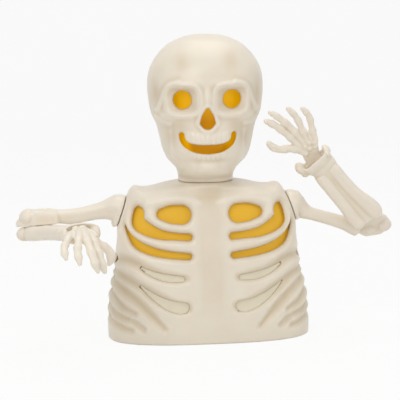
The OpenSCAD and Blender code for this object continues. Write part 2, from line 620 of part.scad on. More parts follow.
// Depth of the plain skull, without its relief, at a place seen from the front or the back
function skull_y(x, z, side) =
  let (s = station(SKULL, row_at(SKULL, z, 4, 16)))
  side * (side < 0 ? s[2] : s[3]) * pow(max(0, 1 - pow(abs(x) / s[1], 2.25)), 1 / 2.25);
module turned() {
  rotate([0, 0, -head_turn]) children();
}
SKULL_SCREWS = [[sw - 15, torso_h + 0.7 * head_h], [neck_r + 3.5, torso_h + 0.145 * head_h]];
skull_boss_r = 4;
// Mouth: the lit slot, as discs [x, z, radius], and its two rows of teeth
MOUTH = [[0, mouth_z - 0.5, 5.5], [17, mouth_z + 1, 4.2], [28.5, mouth_z + 5.2, 3.1],
  [33.5, mouth_z + 11.5, 3], [33.8, mouth_z + 20, 2.9]];
NOSE = [[0, nose_z + 12, 1.8], [5, nose_z - 2, 4.8], [0, nose_z - 8, 3.2]];
tooth_w = 8;
head_liner_d = 9;
eye_rows = [5.2, 11.4];

module skull_half(side, turns, rows) {
  difference() {
    union() {
      shell(skull_surface, turns, rows, 0, wall, crown = true, floor_z = torso_h + seam_gap);
      // ribs over and under the flange of the spigot
      intersection() {
        for (z = [flange_z - 2.2, flange_z + flange_t + 0.2])
          rotate_extrude($fn = 32) translate([neck_inner_r - 3, z]) square([3.6, 1.9]);
        translate([-head_w, side < 0 ? -head_w : 0, 0]) cube([2 * head_w, head_w, torso_h + head_h]);
      }
      difference() {
        for (b = SKULL_SCREWS) for (s = [-1, 1]) translate([s * b[0], 0, b[1]]) rotate([-side * 90, 0, 0])
          cylinder(r = skull_boss_r, h = abs(skull_y(b[0], b[1], side)) + 4, $fn = 10);
        shell(skull_surface, steps(side < 0 ? 0 : 180, side < 0 ? 180 : 360, 16), steps(3, 15, 12),
          -30, wall / 2);
      }
      children();
    }
    for (b = SKULL_SCREWS) for (s = [-1, 1]) translate([s * b[0], 0, b[1]]) rotate([-90, 0, 0]) {
      translate([0, 0, body_head_y - body_screw_l])
        cylinder(r = screw_r + run_gap, h = 2 * body_screw_l, $fn = 14);
      translate([0, 0, body_head_y]) cylinder(r = screw_head_r + 0.3, h = 2 * head_w, $fn = 14);
    }
  }
}
module skull_face() {
  color(ivory) turned() difference() {
    skull_half(-1, steps(0, 180, 28), skull_rows) {
      shell(skull_surface, steps(86, 94, 2), steps(10.2, 10.9, 2), wall / 2, head_liner_d - 1.1);
      shell(skull_surface, steps(86, 94, 2), steps(5.3, 5.6, 1), wall / 2, head_liner_d - 1.1);
      teeth();
    }
    for (s = [-1, 1]) translate([s * eye_x, -head_w, eye_z]) rotate([-90, 0, 0])
      cylinder(r = eye_r, h = head_w, $fn = 28);
    hull() for (c = [NOSE[0], NOSE[1], [-NOSE[1][0], NOSE[1][1], NOSE[1][2]], NOSE[2]])
      translate([c[0], -head_w, c[1]]) rotate([-90, 0, 0]) cylinder(r = c[2], h = head_w - 30, $fn = 14);
    translate([0, -30, 0]) slots(MOUTH, -head_w, 0);
  }
}
// Upper and lower teeth, rounded pads on the wall beside the mouth
module teeth() {
  for (k = [-3.5:3.5]) {
    tooth(k * tooth_w, mouth_z + 12 + 0.007 * pow(k * tooth_w, 2), tooth_w / 2, 5.5);
    tooth(k * tooth_w * 0.85, mouth_z - 9.5 + 0.012 * pow(k * tooth_w, 2), tooth_w * 0.42, 3.4);
  }
}
module tooth(x, z, r, h) {
  y = skull_y(x, z, -1) - relief(x, z) + r - 1.4;
  path = [[x, y + 1, z - h], [x, y, z - h / 2], [x, y, z + h / 2], [x, y + 1, z + h]];
  tube(path, [0.6 * r, r, r, 0.6 * r], 8);
}
module skull_back() {
  rows = concat([0, 1, 3], steps(4, 16, 9), [17, crown_row - 0.4]);
  color(ivory) turned() skull_half(1, steps(180, 360, 16), rows);
}
module skull_screws() {
  color(steel) turned() for (b = SKULL_SCREWS) for (s = [-1, 1]) translate([s * b[0], body_head_y, b[1]])
    rotate([90, 0, 0]) screw(screw_r, body_screw_l - 2, screw_head_r, screw_head_t);
}
module head_diffuser() {
  color(amber) turned() shell(skull_surface, steps(38, 142, 20), steps(eye_rows[0], eye_rows[1], 11),
    head_liner_d, head_liner_d + liner_t);
}
head_board_r = spigot_tube_r - 1;
module head_lamp_board() {
  color("darkgreen") turned() difference() {
    translate([0, 0, flange_z + flange_t]) cylinder(r = head_board_r, h = board_t);
    translate([0, 0, flange_z]) cylinder(r = lead_r + 0.8, h = 20);
  }
}
module head_lamps() {
  color("gold") turned() for (a = [30, 150, 270]) rotate([0, 0, a])
    translate([head_board_r * 0.55, 0, flange_z + flange_t + board_t]) led(9);
}

// ---- shoulders ----------------------------------------------------------
arm_face = body_gap;
bush_back = -seat_depth - 0.05 - bush_flange_t;
spigot_end = bush_back - body_gap;
module shoulder_bush(side) {
  color("whitesmoke") at_shoulder(side) rotate_extrude() polygon([
    [spigot_r + run_gap, bush_back], [bush_r + 3, bush_back], [bush_r + 3, bush_back + bush_flange_t],
    [bush_r, bush_back + bush_flange_t], [bush_r, -0.1], [spigot_r + run_gap, -0.1]]);
}
module shoulder_washer(side) {
  color(steel) at_shoulder(side) ring(2.1, bush_r + 0.6, spigot_end - washer_t, spigot_end);
}
module shoulder_screw(side) {
  color(steel) at_shoulder(side) translate([0, 0, spigot_end - washer_t]) screw(2, washer_t + 9, 4.6, 2.6);
}
module left_shoulder_bush() { shoulder_bush(1); }
module right_shoulder_bush() { shoulder_bush(-1); }
module left_shoulder_washer() { shoulder_washer(1); }
module right_shoulder_washer() { shoulder_washer(-1); }
module left_shoulder_screw() { shoulder_screw(1); }
module right_shoulder_screw() { shoulder_screw(-1); }

// ---- arms ---------------------------------------------------------------
// Elbow frames: +Z is the palm side's normal and z = 0 the plane between upper arm and forearm
left_elbow = [shoulder_x + 98.3, -11.5, shoulder_z - 16];
left_lean = 12;
left_bend = 131;
right_elbow = [-shoulder_x - 107.3, -5, shoulder_z - 14];
right_rise = 6.9;
right_bend = 62.4;
wrist_rest_bend = -18;
module at_elbow(side) {
  if (side > 0) translate(left_elbow) rotate([90 + left_lean, 0, 0]) children();
  else translate(right_elbow) rotate([180, 0, 0]) rotate([0, 0, right_bend]) rotate([0, right_rise, 0])
    rotate([0, 0, -right_bend]) children();
}
module at_forearm(side) {
  at_elbow(side) rotate([0, 0, side > 0 ? left_bend : right_bend])
    mirror([0, side > 0 ? 0 : 1, 0]) children();
}
forearm_mid = body_gap + forearm_t / 2;
module at_wrist(side) {
  at_forearm(side) translate([forearm_l, 0, forearm_mid])
    rotate([0, side > 0 ? 0 : -wrist_rest_bend, 0]) children();
}
elbow_head_r = 5;
elbow_screw_bite = 12;
module elbow_block(discs) {
  hull() for (d = discs) translate([d[0], d[1], -elbow_t]) cylinder(r = d[2], h = elbow_t, $fn = 20);
}
module elbow_bore() {
  translate([0, 0, -elbow_t - 1]) cylinder(r = elbow_pin_r + run_gap, h = elbow_t + 2);
  translate([0, 0, -elbow_t - 1]) cylinder(r = elbow_head_r + 1.6, h = 5);
}
module spigot(side) {
  at_shoulder(side) difference() {
    translate([0, 0, spigot_end]) cylinder(r = spigot_r, h = 3 - spigot_end);
    translate([0, 0, spigot_end - 1]) cylinder(r = 2.05, h = 12);
  }
}
// Rows from the shoulder to the elbow: [out, up, turn, half width, half depth, forward]
LEFT_ARM = [
  [arm_face, 0.1, 18.9, 20.8, 20.8], [4.3, 1.4, 18, 20.8, 20.5], [7.8, 1.9, 8, 19, 19],
  [11.3, 0.3, -8, 16.5, 16.5], [15.8, -5, -25, 12.6, 13], [22.3, -9.2, -24, 9.7, 11],
  [31.3, -12.6, -19, 8.4, 10], [53.3, -19.4, -17, 8.6, 9.8], [72.3, -25.7, -18, 9.6, 9.6],
  [84.3, -30, -19, 12, 9.2], [94.3, -33.2, -18, 13.2, 8.8]
];
RIGHT_ARM = [
  [arm_face, 0.1, 18.9, 20.8, 20.8], [4.3, 1.4, 16, 20.6, 20.5], [9.3, 3, 6, 18.6, 18.6],
  [15.3, 2.6, -6, 15, 16], [23.3, 1.6, -12, 12, 13], [35.3, -0.2, -13, 10.2, 11],
  [51.3, -3.3, -10, 9.7, 10.5],
  [66.3, -5.3, -5, 9.9, 10.5], [80.3, -5.4, 2, 10, 11.5], [92.3, -3.6, 6, 10.5, 12.5],
  [101.3, -2.8, 4, 10, 12.5]
];
LEFT_BLOCK = [[-12, -12.5, 9.5], [8, -20.5, 11.5], [25, -17, 12.5], [0, 0, 8.5]];
RIGHT_BLOCK = [[16, 3, 10], [-6, 10, 11.5], [-17, 3, 13], [0, 0, 9]];
module arm_bone(side, rows) {
  translate([side * shoulder_x, 0, shoulder_z]) mirror([side < 0 ? 1 : 0, 0, 0]) rotate([90, 0, 0])
    bone([for (r = rows) [r[0], r[1], r[2], r[3], r[4], 0]], 16);
}
module left_upper_arm() {
  color(ivory) union() {
    spigot(1);
    difference() {
      union() {
        arm_bone(1, LEFT_ARM);
        at_elbow(1) elbow_block(LEFT_BLOCK);
      }
      at_elbow(1) elbow_bore();
    }
  }
}
module right_upper_arm() {
  color(ivory) union() {
    spigot(-1);
    difference() {
      union() {
        arm_bone(-1, RIGHT_ARM);
        at_elbow(-1) elbow_block(RIGHT_BLOCK);
      }
      at_elbow(-1) elbow_bore();
    }
  }
}
// Forearm: +X runs to the wrist, +Y is the thumb's side, +Z the palm's
half_t = forearm_t / 2;
ULNA = [
  [-5, -12.5, 0, 5, 6], [0, -13, 0, 9, 8.6], [8, -13.2, 0, 10.6, 9.5], [18, -12.6, 2, 10.4, 9.5],
  [forearm_l - 68, -9.8, 3, 8.8, 9.2], [forearm_l - 43, -9, 0, 8.6, 9], [forearm_l - 19, -9.6, -2, 9.1, 9.5],
  [forearm_l - 9, -10, -2, 8.5, 8]
];
RADIUS = [
  [-4, 9.5, 0, 5, 6], [2, 11, 0, 8.6, 8.4], [10, 11.8, 0, 9.2, 9.5], [20, 11.3, -2, 9.4, 9.5],
  [forearm_l - 68, 10.4, -3, 9.2, 9.2], [forearm_l - 43, 9.8, 0, 9, 9], [forearm_l - 19, 9.2, 2, 9.1, 9.5],
  [forearm_l - 9, 9, 2, 8.5, 8]
];
CUP = [[-20, 0, 0, 16.5, 9], [-10, 0.5, 0, 18.5, 10.4], [-3, 1.5, 3, 22, 12], [2.5, 2.3, 5, 24.5, 12.8],
  [5.5, 2.6, 6, 23.6, 12]];
CUP_HOLLOW = [[-12, 0.5, 0, 12, 5], [-8, 0.8, 0, 17, 8], [0, 2, 3, 20.5, 9.6], [8, 2.8, 6, 22, 9.8]];
cup_dip_r = 24;
module forearm(side) {
  color(ivory) at_forearm(side) difference() {
    union() {
      for (rows = [ULNA, RADIUS]) translate([0, 0, forearm_mid])
        bone([for (r = rows) [r[0], r[1], r[2], r[3], min(r[4], half_t), 0]], 12);
      translate([forearm_l, 0, forearm_mid]) bone([for (r = CUP) [r[0], r[1], r[2], r[3], r[4], 0]], 16);
      translate([0, 0, body_gap]) cylinder(r = 8, h = forearm_t - 1);
      translate([2, -6, body_gap]) cube([forearm_l - 22, 12, forearm_t - 4]);
    }
    translate([forearm_l, 0, forearm_mid]) {
      bone([for (r = CUP_HOLLOW) [r[0], r[1], r[2], r[3], r[4], 0]], 16);
      // low middle of the palm-side lip
      translate([cup_dip_r - 4.5, 2, 2]) cylinder(r = cup_dip_r, h = 30);
      translate([0, -40, 0]) rotate([-90, 0, 0]) cylinder(r = wrist_pin_r + 0.02, h = 80);
    }
    cylinder(r = elbow_pin_r - 0.4, h = 2 * (body_gap + elbow_screw_bite + 1), center = true);
  }
}
module left_forearm() { forearm(1); }
module right_forearm() { forearm(-1); }
module elbow_washer(side) {
  seat = 4 - elbow_t - body_gap;
  color(steel) at_elbow(side) ring(elbow_pin_r + 0.1, elbow_head_r + 1.2, seat - 1, seat);
}
// Shouldered screw: its plain shank turns in the upper arm, its tip bites in the forearm
module elbow_screw(side) {
  color(steel) at_elbow(side) rotate_extrude() polygon([
    [0, -elbow_t + 0.4], [elbow_head_r * 0.6, -elbow_t + 0.4], [elbow_head_r, -elbow_t + 1.4],
    [elbow_head_r, -elbow_t + 2.7], [elbow_pin_r, -elbow_t + 2.7], [elbow_pin_r, body_gap],
    [elbow_pin_r - 0.45, body_gap], [elbow_pin_r - 0.45, elbow_screw_bite], [0, elbow_screw_bite + 1]]);
}
module left_elbow_washer() { elbow_washer(1); }
module right_elbow_washer() { elbow_washer(-1); }
module left_elbow_screw() { elbow_screw(1); }
module right_elbow_screw() { elbow_screw(-1); }

// Hand: +X runs to the fingers, +Y is the thumb's side, +Z the palm's. Each finger is its share
// of the curl, then a list of [x, y] from the carpals to the tip.
FINGERS = [
  [1.05, [25, -17.5], [35, -22.5], [45, -27.4], [55, -32.2], [65, -33.9], [74, -32.8]],
  [0.95, [24, -8], [40, -12.2], [52, -16.2], [63.6, -19.6], [76, -20.8], [87, -19.8]],
  [0.95, [24, -4], [40, -6], [55.7, -6.4], [70, -5.4], [85, -3.4], [98.5, 1]],
  [1.1, [24, 1.5], [41.4, 1.9], [56, 2.5], [69, 4.4], [82, 7.6], [94, 12.3]],
  [1.9, [17, 2.5], [28.3, 3.9], [37, 9], [45.5, 18.2], [54, 25.5], [69.5, 26.6]]
];
FINGER_SHAPE = [0.9, 0.95, 0.9, 1, 0.85, 0.45];
// How the waving and the drooping hand are moulded: degrees of curl per mm, lean towards the
// little finger (from lean_start out) and spread of the fingers
HAND_SET = [[0.1, 0, 1], [1.08, 11, 1.19]];
lean_start = 24;
// [x, y, z, tilt] of a flat point once the hand has its curl
function curled(side, x, y, share = 1) = let (set = HAND_SET[side > 0 ? 0 : 1], bend = set[0] * share,
  r = 180 / PI / bend, lean = max(0, x - lean_start) * tan(set[1]))
  [r * sin(bend * x), y * set[2] - lean, r * (1 - cos(bend * x)), bend * x];
module palm_plate(side, corners, t) {
  hull() for (p = corners) let (c = curled(side, p[0], p[1])) translate([c[0], c[1], c[2]])
    rotate([0, -c[3], 0]) translate([0, 0, -t / 2]) cylinder(r = 3, h = t, $fn = 10);
}
finger_r = finger_d / 2;
lug_w = 26;
module hand(side) {
  color(ivory) at_wrist(side) difference() {
    union() {
      rotate([90, 0, 0]) cylinder(r = wrist_r, h = lug_w, center = true);
      palm_plate(side, [[0, -9], [0, 9], [14, -8], [15, 6]], 6);
      palm_plate(side, [[14, -8], [15, 6], [25, -16.5], [28, 4]], 6);
      palm_plate(side, [[25, -16.5], [27, 4], [36, -20], [38, 3]], 5);
      palm_plate(side, [[36, -20], [38, 3], [43, -21], [50, -11], [50, -2]], 4);
      for (f = FINGERS) let (n = len(f) - 1) bone([for (i = [1:n])
        let (d = f[min(n, i + 1)] - f[max(1, i - 1)], r = finger_r * FINGER_SHAPE[i - 1],
          c = curled(side, f[i][0], f[i][1], f[0]))
        [c[0], c[1], atan2(d[1], d[0]), r, r, c[2], c[3]]], 8);
    }
    rotate([90, 0, 0]) cylinder(r = wrist_pin_r + run_gap, h = lug_w + 2, center = true);
  }
}
module wrist_pin(side) {
  color(steel) at_forearm(side) translate([forearm_l, 2, forearm_mid]) rotate([90, 0, 0])
    cylinder(r = wrist_pin_r, h = 44, center = true);
}
module left_hand() { hand(1); }
module right_hand() { hand(-1); }
module left_wrist_pin() { wrist_pin(1); }
module right_wrist_pin() { wrist_pin(-1); }

torso_front();
torso_back();
base_plate();
base_screws();
body_screws();
chest_diffuser();
belly_panel();
chest_lamp_board();
chest_lamps();
board_screws();
battery_box();
battery_contacts();
battery_cells();
battery_door();
door_hinge_pin();
door_screw();
switch_housing();
switch_slider();
lamp_lead();
neck_bearing();
neck_spigot();
neck_retainer();
neck_screws();
skull_face();
skull_back();
skull_screws();
head_diffuser();
head_lamp_board();
head_lamps();
left_shoulder_bush();
left_upper_arm();
left_shoulder_washer();
left_shoulder_screw();
left_forearm();
left_elbow_washer();
left_elbow_screw();
left_hand();
left_wrist_pin();
right_shoulder_bush();
right_upper_arm();
right_shoulder_washer();
right_shoulder_screw();
right_forearm();
right_elbow_washer();
right_elbow_screw();
right_hand();
right_wrist_pin();
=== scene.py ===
# %% [markdown]
# # Halloween skeleton figure: a lit half-length skeleton for a shelf
# The figure is moulded in ivory plastic: a hollow ribcage that stands on its cut hips, a hollow
# skull that turns on the neck, and two arms with loose elbows and hands. Amber and pale liners
# inside glow through the openings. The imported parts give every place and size; this lesson
# dresses them. All the shapes below are worked out in millimetres and turned to metres at the end.

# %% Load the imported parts
import math
import bmesh
import bpy
import numpy as np
from mathutils import Matrix, Vector
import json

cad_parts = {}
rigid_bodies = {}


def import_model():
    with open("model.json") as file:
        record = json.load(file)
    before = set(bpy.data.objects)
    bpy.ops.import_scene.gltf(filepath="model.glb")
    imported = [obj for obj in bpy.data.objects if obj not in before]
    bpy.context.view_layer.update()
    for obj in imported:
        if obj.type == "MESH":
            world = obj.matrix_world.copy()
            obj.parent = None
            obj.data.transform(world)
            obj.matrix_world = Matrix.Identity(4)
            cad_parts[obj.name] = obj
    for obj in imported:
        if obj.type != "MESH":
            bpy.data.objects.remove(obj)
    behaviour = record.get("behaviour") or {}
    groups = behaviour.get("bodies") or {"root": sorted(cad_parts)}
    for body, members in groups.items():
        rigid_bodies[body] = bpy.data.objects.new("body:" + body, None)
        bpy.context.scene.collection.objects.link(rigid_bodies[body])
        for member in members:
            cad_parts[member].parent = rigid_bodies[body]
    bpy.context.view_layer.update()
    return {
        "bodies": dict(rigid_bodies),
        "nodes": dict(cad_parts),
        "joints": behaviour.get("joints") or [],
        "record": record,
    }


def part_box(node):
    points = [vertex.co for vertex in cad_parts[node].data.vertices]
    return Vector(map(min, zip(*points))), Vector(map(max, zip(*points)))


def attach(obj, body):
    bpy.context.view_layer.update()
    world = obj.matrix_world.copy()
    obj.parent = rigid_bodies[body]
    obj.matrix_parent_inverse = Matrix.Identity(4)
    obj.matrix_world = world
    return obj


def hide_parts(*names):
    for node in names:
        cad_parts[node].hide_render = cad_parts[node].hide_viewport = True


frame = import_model()
scene = bpy.context.scene

# %% [markdown]
# ## Camera, floor and light
# The figure is seen from a little to its right and from slightly above, with a long lens. The
# floor and backdrop are one pale sheet that bends up behind the figure, so there is no horizon.
# Three big soft lamps and an even world light give the flat, gentle light of a catalogue table.

# %% Camera
def place_camera(target, azimuth, elevation, distance, roll, lens):
    """Camera on a sphere round target: azimuth 0 looks along +Y; roll turns it about its own axis."""
    a, e = math.radians(azimuth), math.radians(elevation)
    back = Vector((math.sin(a) * math.cos(e), -math.cos(a) * math.cos(e), math.sin(e)))
    data = bpy.data.cameras.new("camera")
    data.lens, data.sensor_width = lens, 36.0
    data.clip_start, data.clip_end = 0.05, 50.0
    cam = bpy.data.objects.new("camera", data)
    cam.location = Vector(target) + back * distance
    turn = (-back).to_track_quat("-Z", "Y").to_matrix() @ Matrix.Rotation(math.radians(roll), 3, "Z")
    cam.rotation_euler = turn.to_euler()
    scene.collection.objects.link(cam)
    scene.camera = cam
    return cam


camera = place_camera(target=(-0.0076, 0.0, 0.1760), azimuth=-5.0, elevation=8.0, distance=2.0, roll=-1.15,
                      lens=138.5)
print("camera at", [round(v, 3) for v in camera.location])

# %% Colours and nodes
def hex_rgba(code):
    """sRGB hex to the linear colour that Blender works in: c / 12.92 below 0.04045, else a power of 2.4."""
    c = np.array([int(code[i:i + 2], 16) for i in (1, 3, 5)]) / 255
    linear = np.where(c <= 0.04045, c / 12.92, ((c + 0.055) / 1.055) ** 2.4)
    return (*[float(v) for v in linear], 1.0)


def add_node(tree, kind, settings=None, **links):
    """Adds one node. settings fill its properties or its inputs by name or number,
    links join sockets to inputs."""
    node = tree.nodes.new("ShaderNode" + kind)
    for key, value in (settings or {}).items():
        if isinstance(key, int) or key in node.inputs:
            node.inputs[key].default_value = value
        else:
            setattr(node, key, value)
    for key, socket in links.items():
        name = key.strip("_").replace("_", " ")
        target = node.inputs[int(name)] if name.isdigit() else node.inputs[name]
        tree.links.new(socket, target)
    return node


def between(tree, low, high, share):
    """A colour between two hex colours by a socket, where 0 is the first."""
    mix = add_node(tree, "Mix", {"data_type": "RGBA", 6: hex_rgba(low), 7: hex_rgba(high)}, _0=share)
    return mix.outputs[2]


def noise(tree, place, scale, detail, rough=0.5):
    """Noise of a scale per metre over the places that a socket gives."""
    settings = {"Scale": scale, "Detail": detail, "Roughness": rough}
    return add_node(tree, "TexNoise", settings, Vector=place).outputs[0]


def plastic(tree, out, settings, **links):
    """A principled surface, joined to the material's output."""
    skin = add_node(tree, "BsdfPrincipled", settings, **links)
    tree.links.new(skin.outputs[0], out.inputs["Surface"])


def new_material(name):
    """A material with an empty tree and its output node."""
    material = bpy.data.materials.new(name)
    material.use_nodes = True
    tree = material.node_tree
    tree.nodes.clear()
    return material, tree, add_node(tree, "OutputMaterial")


print("white is", hex_rgba("#ffffff")[:3])

# %% Floor and backdrop
def sweep_backdrop(width, front, back, height, bend, steps=24):
    """Floor and wall as one sheet: flat to the bend, a quarter circle of that radius, then straight up."""
    t = np.linspace(0, np.pi / 2, steps)
    y = np.concatenate([[front], back - bend + bend * np.sin(t), [back]])
    z = np.concatenate([[0], bend - bend * np.cos(t), [height]])
    x = np.array([-width / 2, width / 2])
    points = np.stack(np.broadcast_arrays(x[:, None], y[None], z[None]), -1).reshape(-1, 3)
    n = len(y)
    k = np.arange(n - 1)
    mesh = bpy.data.meshes.new("backdrop")
    mesh.from_pydata(points.tolist(), [], np.stack([k, k + n, k + n + 1, k + 1], 1).tolist())
    mesh.polygons.foreach_set("use_smooth", [True] * len(mesh.polygons))
    return mesh


def seen_directly(tree):
    """A socket that is 1 for rays from the camera, in reflections and through clear
    parts, and 0 for light."""
    path = add_node(tree, "LightPath")
    seen = path.outputs["Is Camera Ray"]
    for kind in ("Is Glossy Ray", "Is Transmission Ray"):
        seen = add_node(tree, "Math", {"operation": "MAXIMUM"}, _0=seen, _1=path.outputs[kind]).outputs[0]
    return seen


def paper_material():
    """Matte white paper. Seen directly or in reflections it is nine tenths clear white, and the last tenth
    is the real surface, which keeps the figure's soft shadow."""
    material, tree, out = new_material("backdrop_matte_paper")
    paper = add_node(tree, "BsdfDiffuse", {"Color": hex_rgba("#f2f1ef")})
    clear = add_node(tree, "Emission", {"Color": (1, 1, 1, 1), "Strength": 1.0})
    share = add_node(tree, "Math", {"operation": "MULTIPLY", 1: 0.9}, _0=seen_directly(tree))
    mix = add_node(tree, "MixShader", _0=share.outputs[0], _1=paper.outputs[0],
                   _2=clear.outputs[0])
    tree.links.new(mix.outputs[0], out.inputs["Surface"])
    return material


backdrop = bpy.data.objects.new("backdrop", sweep_backdrop(width=12.0, front=-5.0, back=4.0, height=4.0,
                                                           bend=1.5))
backdrop.data.materials.append(paper_material())
scene.collection.objects.link(backdrop)
print("backdrop faces:", len(backdrop.data.polygons))

# %% Lamps and world
def soft_lamp(name, place, aim, size, power):
    """A square area lamp of size metres at place, turned to face aim."""
    data = bpy.data.lights.new(name, "AREA")
    data.energy, data.size = power, size
    data.color = (1.0, 0.985, 0.965)
    lamp = bpy.data.objects.new(name, data)
    lamp.location = place
    lamp.rotation_euler = (Vector(aim) - Vector(place)).to_track_quat("-Z", "Y").to_euler()
    scene.collection.objects.link(lamp)
    return lamp


CHEST = (0, 0, 0.2)
soft_lamp("key_lamp", (-0.9, -1.5, 1.5), CHEST, size=1.1, power=13)
soft_lamp("fill_lamp", (1.5, -1.3, 0.9), CHEST, size=1.3, power=5.5)
soft_lamp("top_lamp", (0.1, 0.3, 1.9), CHEST, size=1.2, power=8.5)
world = bpy.data.worlds.new("studio")
world.use_nodes = True
tree = world.node_tree
tree.nodes.clear()
lit = add_node(tree, "Background", {"Color": (1, 1, 1, 1), "Strength": 0.5})
shown = add_node(tree, "Background", {"Color": (1, 1, 1, 1), "Strength": 0.97})
sky = add_node(tree, "MixShader", _0=seen_directly(tree), _1=lit.outputs[0], _2=shown.outputs[0])
tree.links.new(sky.outputs[0], add_node(tree, "OutputWorld").inputs["Surface"])
scene.world = world
scene.view_settings.view_transform = "Standard"

# %% [markdown]
# ## Surfaces as arrays
# A moulded shell is drawn here as a grid of points: one index runs round it, the other up it.
# Rows of named sizes are joined by a smooth curve, just as in the solid model, so the dressed
# pieces lie where the solids are. Openings are cut by a distance field: grid points close to an
# edge are pulled onto it, and the triangles inside are dropped, which gives clean rounded lips.

# %% Curves and grids
def spline(rows, u):
    """Catmull-Rom curve through rows, read at the fractional row numbers u."""
    rows, u = np.asarray(rows, float), np.asarray(u, float)
    n = len(rows) - 1
    i = np.clip(np.floor(u).astype(int), 0, n - 1)
    f = (u - i)[..., None]
    p, q, r, s = rows[np.maximum(i - 1, 0)], rows[i], rows[i + 1], rows[np.minimum(i + 2, n)]
    return 0.5 * (2 * q + (r - p) * f + (2 * p - 5 * q + 4 * r - s) * f ** 2 + (3 * q - p - 3 * r + s)
                  * f ** 3)


def spow(v, e):
    """Power that keeps the sign."""
    return np.sign(v) * np.abs(v) ** e


def bump(x, z, rx, rz):
    """Bell of height 1 with half sizes rx and rz."""
    return np.exp(-(x / rx) ** 2 - (z / rz) ** 2)


def smooth(v, lo, hi):
    """0 below lo, 1 above hi, with an S curve between."""
    t = np.clip((v - lo) / (hi - lo), 0, 1)
    return t * t * (3 - 2 * t)


def even_steps(line, n):
    """Parameters 0..1 that cut a sampled line into n equal lengths."""
    length = np.concatenate([[0], np.cumsum(np.linalg.norm(np.diff(line, axis=0), axis=1))])
    return np.interp(np.linspace(0, length[-1], n + 1), length, np.linspace(0, 1, len(line)))


def unit(v):
    """Vectors of length 1 along the last index."""
    return v / np.maximum(np.linalg.norm(v, axis=-1, keepdims=True), 1e-9)


def grid_normals(p):
    """Unit normals of a grid of points, from the differences along both indices."""
    return unit(np.cross(np.gradient(p, axis=0), np.gradient(p, axis=1)))


def chain_distance(x, z, chain, fine=6):
    """Distance to a smooth chain of discs [x, z, radius]: negative inside, the least over its segments."""
    chain = spline(chain, np.linspace(0, len(chain) - 1, (len(chain) - 1) * fine + 1))
    best = np.full(np.shape(x), 1e9)
    for a, b in zip(chain[:-1], chain[1:]):
        d = b[:2] - a[:2]
        t = np.clip(((x - a[0]) * d[0] + (z - a[1]) * d[1]) / max(d @ d, 1e-9), 0, 1)
        best = np.minimum(best, np.hypot(x - a[0] - t * d[0], z - a[1] - t * d[1]) - a[2] - t
                          * (b[2] - a[2]))
    return best


print("a bell falls to", round(float(bump(2.0, 0.0, 2.0, 1.0)), 3), "at its half size")

# %% Mesh from a cut grid
def cut_grid(p, h):
    """Vertices and triangles of the part of grid p where the field h is positive. Points within half
    a step of the edge slide onto it along the field's slope, and each square is split so that no
    triangle crosses the edge."""
    gi, gj = np.gradient(h)
    slope = np.maximum(gi ** 2 + gj ** 2, 1e-12)
    near = np.abs(h) < 0.5 * np.maximum(np.abs(gi), np.abs(gj)) + 1e-9
    di = np.where(near, np.clip(-h * gi / slope, -0.6, 0.6), 0)
    dj = np.where(near, np.clip(-h * gj / slope, -0.6, 0.6), 0)
    di[0] = di[-1] = 0
    dj[:, 0] = dj[:, -1] = 0
    moved = p + di[..., None] * np.gradient(p, axis=0) + dj[..., None] * np.gradient(p, axis=1)
    sign = np.where(near, 0, np.sign(h))
    n, m = h.shape
    idx = np.arange(n * m).reshape(n, m)
    quad = np.stack([idx[:-1, :-1], idx[1:, :-1], idx[1:, 1:], idx[:-1, 1:]], -1).reshape(-1, 4)
    s = sign.reshape(-1)[quad]
    across = (s[:, 0] == 0) & (s[:, 2] == 0)
    tri = np.concatenate([
        np.where(across[:, None], quad[:, [0, 1, 2]], quad[:, [0, 1, 3]]),
        np.where(across[:, None], quad[:, [0, 2, 3]], quad[:, [1, 2, 3]])])
    st = sign.reshape(-1)[tri]
    tri = tri[(st.max(1) > 0) & (st.min(1) >= 0)]
    return moved.reshape(-1, 3), tri


def add_piece(name, points, faces, material, body, replaces=(), attributes=None):
    """Puts points in millimetres and faces into a new object, drops unused points and
    rides it on a body."""
    used = np.unique(np.asarray(faces).reshape(-1))
    renumber = np.full(len(points), -1)
    renumber[used] = np.arange(len(used))
    mesh = bpy.data.meshes.new(name)
    mesh.from_pydata((np.asarray(points)[used] / 1000).tolist(), [], renumber[np.asarray(faces)].tolist())
    for key, values in (attributes or {}).items():
        layer = mesh.attributes.new(key, "FLOAT", "POINT")
        layer.data.foreach_set("value", np.asarray(values, np.float32).reshape(-1)[used])
    obj = bpy.data.objects.new(name, mesh)
    scene.collection.objects.link(obj)
    return finish_piece(obj, material, body, replaces)


def finish_piece(obj, material, body, replaces=()):
    """Smooth faces, material, body, and the solid nodes that this piece stands for."""
    obj.data.polygons.foreach_set("use_smooth", [True] * len(obj.data.polygons))
    obj.data.materials.clear()
    obj.data.materials.append(material)
    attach(obj, body)
    if replaces:
        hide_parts(*replaces)
    print(obj.name, "faces", len(obj.data.polygons))
    return obj


def merge_doubles(obj, gap=0.00002):
    """Joins points that lie together, and turns the faces outwards."""
    mesh = bmesh.new()
    mesh.from_mesh(obj.data)
    bmesh.ops.remove_doubles(mesh, verts=mesh.verts, dist=gap)
    bmesh.ops.recalc_face_normals(mesh, faces=mesh.faces)
    mesh.to_mesh(obj.data)
    mesh.free()


def apply_modifiers(obj):
    """Makes what the modifiers give the object's own mesh."""
    evaluated = obj.evaluated_get(bpy.context.evaluated_depsgraph_get())
    mesh = bpy.data.meshes.new_from_object(evaluated)
    obj.modifiers.clear()
    old, obj.data = obj.data, mesh
    bpy.data.meshes.remove(old)
    mesh.name = obj.name


def thicken(obj, wall):
    """Gives an open sheet a wall of that many millimetres, inwards."""
    solid = obj.modifiers.new("wall", "SOLIDIFY")
    solid.thickness, solid.offset = wall / 1000, -1.0
    solid.use_even_offset, solid.use_rim = False, True

